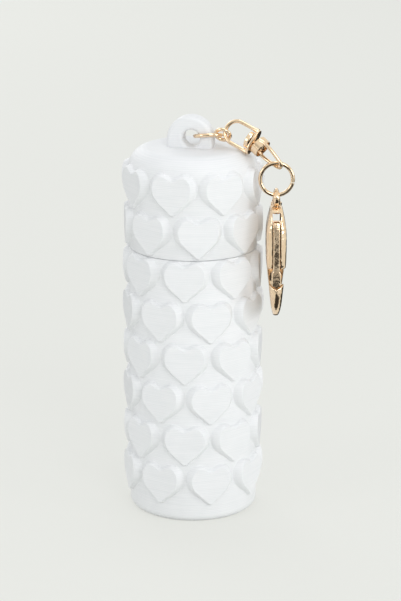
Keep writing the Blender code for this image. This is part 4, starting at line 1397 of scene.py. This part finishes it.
    def build_body(self) -> None:
        """Build the hook: rounded outline, spindle edge view, slot, window and nose notch."""
        plane, top = self.plane(), Matrix.Translation(pivot("clasp_turn"))
        spine, mouth, gate = (in_mm(curved(run, 3))
                              for run in (self.spine, self.mouth, self.gate_side))
        runs = [[gate[-1], spine[0]], spine, [spine[-1], mouth[0]], mouth, [mouth[-1], gate[0]],
                gate]
        body = slab("clasp", soft_loop(runs, self.corner, 4), self.stock, plane)
        down = in_mm(curved(self.edge_view, 2))
        edge = down + [(-x, y) for x, y in reversed(down)]
        body = cut(body, slab("spindle", edge, self.cutter_reach, self.across(0.0)), Keep.INSIDE)
        side, depth = self.notch_side
        wedge = in_mm([(-side, self.notch_top), (side, self.notch_top), (side, depth),
                       (0.0, self.notch_bottom), (-side, depth)])
        back, far, lid = self.slot_back, self.cutter_reach / 2, self.bridge
        opening = [(-far, lid), (far, lid), (far, self.slot_bottom), (back, self.slot_bottom),
                   (back, self.window_bottom), (-far, self.window_bottom)]
        body = self.crowned(worn(body, self.coarse, self.doming))
        for tool in (slab("slot_and_window", opening, self.slot_width, plane),
                     slab("nose_notch", wedge, self.notch_reach,
                          self.across(self.notch_breadth))):
            body = cut(body, tool)
        body = worn(body, self.fine, self.polish)
        for tool in (rod("stem_hole", self.stem_hole, 4 * lid, top),
                     rod("pin_hole", self.pin_hole, far, self.lever_frame())):
            body = cut(body, tool)
        mesh = tidy_mesh(finished_mesh(body, "clasp_hook"), sharp=32.0)
        self.bench.hand_in("clasp_hook", [mesh], Body.CLASP, Slot.GOLD, self.bench.cast,
                           ["clasp_body"])

    def lever_frame(self) -> Matrix:
        """Return the lever's flat frame about its pin."""
        return self.plane() @ Matrix.Translation((self.pin_breadth, self.pin_depth, 0.0))

    def build_lever(self) -> None:
        """Build the thumb arm and gate in one, with a notch for the spring."""
        front, back = (in_mm(curved(run, 3)) for run in (self.lever_front, self.lever_back))
        runs = [[back[-1], front[0]], front, [front[-1], back[0]], back]
        lever = slab("lever", soft_loop(runs, self.lever_corner, 3), self.stock / 2, self.plane())
        arm, wide = self.lever_thickness / 2 / MM, self.gate_half_width
        slope = (self.notch_bottom - self.notch_side[1]) / self.notch_side[0]
        tip = self.notch_bottom - self.gate_gap
        arm_end, gate_start = self.gate_top
        half = [(arm, self.lever_top), (arm, arm_end), (wide, gate_start),
                (wide, tip - slope * wide), (0.0, tip)]
        edge = in_mm(half + [(-x, y) for x, y in reversed(half[:-1])])
        lever = cut(lever, slab("lever_edge", edge, self.cutter_reach, self.across(0.0)),
                    Keep.INSIDE)
        lever = rounded(lever, self.lever_rounding, segments=4, angle=30.0)
        at = self.lever_frame()
        lever = cut(lever, rod("lever_hole", self.pin_hole, self.cutter_reach / 2, at))
        side = at @ Matrix.Translation((0.0, 0.0, -self.lever_thickness / 2))
        lever = cut(lever, rod("lever_notch", self.spring_notch, self.lever_thickness, side))
        mesh = tidy_mesh(finished_mesh(lever, "clasp_gate"), sharp=32.0)
        self.bench.hand_in("clasp_gate", [mesh], Body.LEVER, Slot.GOLD, self.bench.rough,
                           ["clasp_lever"])

    def build_pin(self) -> None:
        """Build the lever's pin with its slightly domed ends."""
        r, half, edge = self.pin_radius, self.pin_length / 2, self.pin_rounding
        upper = [(r * self.pin_dome_share, half - self.pin_dome), (r, half - edge)]
        lower = [(radius, -height) for radius, height in reversed(upper)]
        profile = [(0.0, half), *upper, *lower, (0.0, -half)]
        mesh = tidy_mesh(revolved("lever_pin", profile, self.lever_frame(), steps=32), sharp=50.0)
        self.bench.hand_in("lever_pin", [mesh], Body.CLASP, Slot.GOLD, self.bench.cast,
                           ["clasp_lever_pin"])

    def build_spring(self) -> None:
        """Build the return spring: a coil round the pin, in the lever's notch."""
        at, r = self.lever_frame(), self.spring_radius
        start = -self.lever_thickness / 2 - self.spring_wire / 2
        points = []
        for step in range(round(self.spring_turns * self.spring_steps) + 1):
            turns = step / self.spring_steps
            a = math.tau * turns
            points.append(at @ Vector((r * math.cos(a), r * math.sin(a),
                                       start + self.spring_pitch * turns)))
        mesh = self.bench.draw_wire("spring", points, self.spring_wire, sides=10,
                                    material=self.bench.steel)
        self.bench.hand_in("return_spring", [mesh], Body.CLASP, Slot.GOLD, self.bench.steel,
                           ["clasp_spring"])

    def build(self) -> None:
        """Build the ring and the clasp's pieces."""
        self.build_ring()
        self.build_eye()
        self.build_body()
        self.build_lever()
        self.build_pin()
        self.build_spring()


def background_rays(tree: bpy.types.NodeTree) -> bpy.types.Node:
    """Tell the rays that see the background: camera, mirrored and refracted ones.

    Args:
        tree: The tree that asks.

    Returns:
        A node whose output is 1 for such a ray.
    """
    path = add_node(tree, "ShaderNodeLightPath")
    mirrored = add_node(tree, "ShaderNodeMath", {"operation": "MAXIMUM"}, {
        0: path.outputs["Is Glossy Ray"], 1: path.outputs["Is Transmission Ray"]})
    return add_node(tree, "ShaderNodeMath", {"operation": "MAXIMUM"}, {
        0: path.outputs["Is Camera Ray"], 1: mirrored.outputs[0]})


@dataclass(frozen=True)
class Studio:
    """Pale floor, soft lamps and the camera at the photograph's angle."""

    floor_colour: str = "#E7E8E3"
    floor_glow: float = 0.7
    floor_reach: float = 6.0
    floor_thickness: float = 10 * MM
    sky_colour: str = "#F6F8FA"
    sky_level: float = 0.81
    mirrored_sky: float = 1.12
    mirrored_front: float = 0.4
    # The mirrored room darkens from the first to the second value, forward and downward.
    darker_forward: Point = (-0.3, -0.85)
    darker_downward: Point = (0.65, 0.3)
    card_colour: str = "#3A3835"
    card_heights: Point = (2 * MM, MM)
    # Each card has a name and two of its corners.
    cards: tuple[tuple[str, Point, Point], ...] = (
        ("front_card", (-0.08, -0.95), (0.17, -0.15)),
        ("near_card", (-0.04, -0.15), (0.17, -0.02)),
        ("back_card", (-0.35, 0.03), (0.35, 0.8)))
    # Each soft box has a name, a place, its watts and its width.
    soft_boxes: tuple[tuple[str, Triple, float, float], ...] = (
        ("key", (0.30, -0.80, 0.55), 2.3, 0.45), ("fill", (-0.75, -0.45, 0.35), 0.75, 0.3),
        ("side", (0.86, -0.42, 0.25), 1.5, 0.35), ("top", (0.05, 0.20, 0.95), 0.8, 0.3),
        ("back", (-0.35, 0.85, 0.40), 1.2, 0.4))
    lit_height: float = 0.06
    camera_place: Triple = (0.0, -0.5915, 0.2279)
    camera_down: float = 16.43
    camera_right: float = 0.178
    lens: float = 146.8

    @staticmethod
    def sheet(name: str, corners: tuple[Point, Point], heights: Point,
              material: bpy.types.Material) -> bpy.types.Object:
        """Lay a thin level sheet.

        Args:
            name: The sheet's name.
            corners: Two opposite corners.
            heights: Heights of its upper and its lower face.
            material: Its finish.

        Returns:
            The sheet.
        """
        (x0, y0), (x1, y1) = corners
        outline = ((x0, y0), (x1, y0), (x1, y1), (x0, y1))
        mesh = loft(name, [[Vector((x, y, z)) for x, y in outline] for z in heights])
        mesh.materials.append(material)
        return new_object(name, mesh)

    def floor(self) -> None:
        """Lay the floor: it shows its own pale colour, and keeps the object's shadow."""
        made, tree = fresh_material("pale_studio_floor")
        matt = add_node(tree, "ShaderNodeBsdfDiffuse", {}, {"Color": srgb(self.floor_colour)})
        glow = add_node(tree, "ShaderNodeEmission", {}, {
            "Color": srgb(self.floor_colour), "Strength": 1.0})
        shown = background_rays(tree)
        seen = add_node(tree, "ShaderNodeMath", {"operation": "MULTIPLY"}, {
            0: shown.outputs[0], 1: self.floor_glow})
        mixed = add_node(tree, "ShaderNodeMixShader", {}, {
            0: seen.outputs[0], 1: matt.outputs[0], 2: glow.outputs[0]})
        add_node(tree, "ShaderNodeOutputMaterial", {}, {"Surface": mixed.outputs[0]})
        reach = self.floor_reach
        corners = ((-reach, -reach), (reach, reach))
        self.sheet("studio_floor", corners, (0.0, -self.floor_thickness), made)

    def world(self) -> None:
        """Light the room softly, with dark and bright bands for the gold to mirror."""
        world = bpy.data.worlds.new("soft_studio")
        bpy.context.scene.world = world
        world.use_nodes = True
        tree = world.node_tree
        tree.nodes.clear()
        place = add_node(tree, "ShaderNodeTexCoord")
        split = add_node(tree, "ShaderNodeSeparateXYZ", {}, {0: place.outputs["Generated"]})
        front, low = (
            add_node(tree, "ShaderNodeMapRange", {"interpolation_type": "SMOOTHSTEP"}, {
                "Value": split.outputs[axis], "From Min": pale, "From Max": dark})
            for axis, (pale, dark) in (("Y", self.darker_forward), ("Z", self.darker_downward)))
        dim = add_node(tree, "ShaderNodeMath", {"operation": "MULTIPLY"}, {
            0: front.outputs[0], 1: low.outputs[0]})
        mirrored = add_node(tree, "ShaderNodeMapRange", {}, {
            "Value": dim.outputs[0], "To Min": self.mirrored_sky,
            "To Max": self.mirrored_front})
        path = add_node(tree, "ShaderNodeLightPath")
        level = add_node(tree, "ShaderNodeMix", {"data_type": "FLOAT"}, {
            "Factor": path.outputs["Is Glossy Ray"], "A": self.sky_level,
            "B": mirrored.outputs[0]})
        shown = add_node(tree, "ShaderNodeMix", {"data_type": "FLOAT"}, {
            "Factor": path.outputs["Is Camera Ray"], "A": level.outputs[0], "B": 1.0})
        seen = background_rays(tree)
        sky = add_node(tree, "ShaderNodeMix", {"data_type": "RGBA"}, {
            "Factor": seen.outputs[0], "A": srgb(self.sky_colour),
            "B": srgb(self.floor_colour)})
        back = add_node(tree, "ShaderNodeBackground", {}, {
            "Color": sky.outputs["Result"], "Strength": shown.outputs[0]})
        add_node(tree, "ShaderNodeOutputWorld", {}, {"Surface": back.outputs[0]})

    def mirror_cards(self) -> None:
        """Lay dark cards before and behind the object that only the polished metal mirrors."""
        made, tree = fresh_material("black_card")
        matt = add_node(tree, "ShaderNodeBsdfDiffuse", {}, {"Color": srgb(self.card_colour)})
        add_node(tree, "ShaderNodeOutputMaterial", {}, {"Surface": matt.outputs[0]})
        for name, near, far in self.cards:
            card = self.sheet(name, (near, far), self.card_heights, made)
            card.visible_camera = False
            card.visible_diffuse = False
            card.visible_shadow = False

    def lamps(self) -> None:
        """Hang the soft boxes, turned toward the object: key and side right, fill left."""
        for name, place, watts, size in self.soft_boxes:
            lamp = bpy.data.lights.new(name, "AREA")
            lamp.energy = watts
            lamp.size = size
            item = new_object(f"soft_box_{name}", lamp)
            item.location = place
            toward = Vector((0.0, 0.0, self.lit_height)) - Vector(place)
            item.rotation_euler = toward.to_track_quat("-Z", "Y").to_euler()

    def camera(self) -> None:
        """Set the camera at the photograph's viewing angle."""
        data = bpy.data.cameras.new("camera")
        data.lens = self.lens
        data.clip_start = 10 * MM
        item = new_object("camera", data)
        item.location = self.camera_place
        item.rotation_euler = (math.radians(90.0 - self.camera_down), 0.0,
                               math.radians(-self.camera_right))
        bpy.context.scene.camera = item

    def build(self) -> None:
        """Set up the studio."""
        bpy.context.scene.view_settings.view_transform = "Standard"
        self.camera()
        self.floor()
        self.world()
        self.mirror_cards()
        self.lamps()


def main() -> None:
    """Build the studio and every piece, in the order in which the object hangs together."""
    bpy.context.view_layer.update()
    Studio().build()
    bench = Bench()
    for part in (PrintedCase(bench), PrintedCap(bench), ChainLinks(bench), Swivel(bench),
                 HangingClasp(bench)):
        part.build()
        LOG.info("%s is done", type(part).__name__)


if __name__ == "__main__":
    logging.basicConfig(level=logging.INFO, format="%(name)s: %(message)s")
    main()
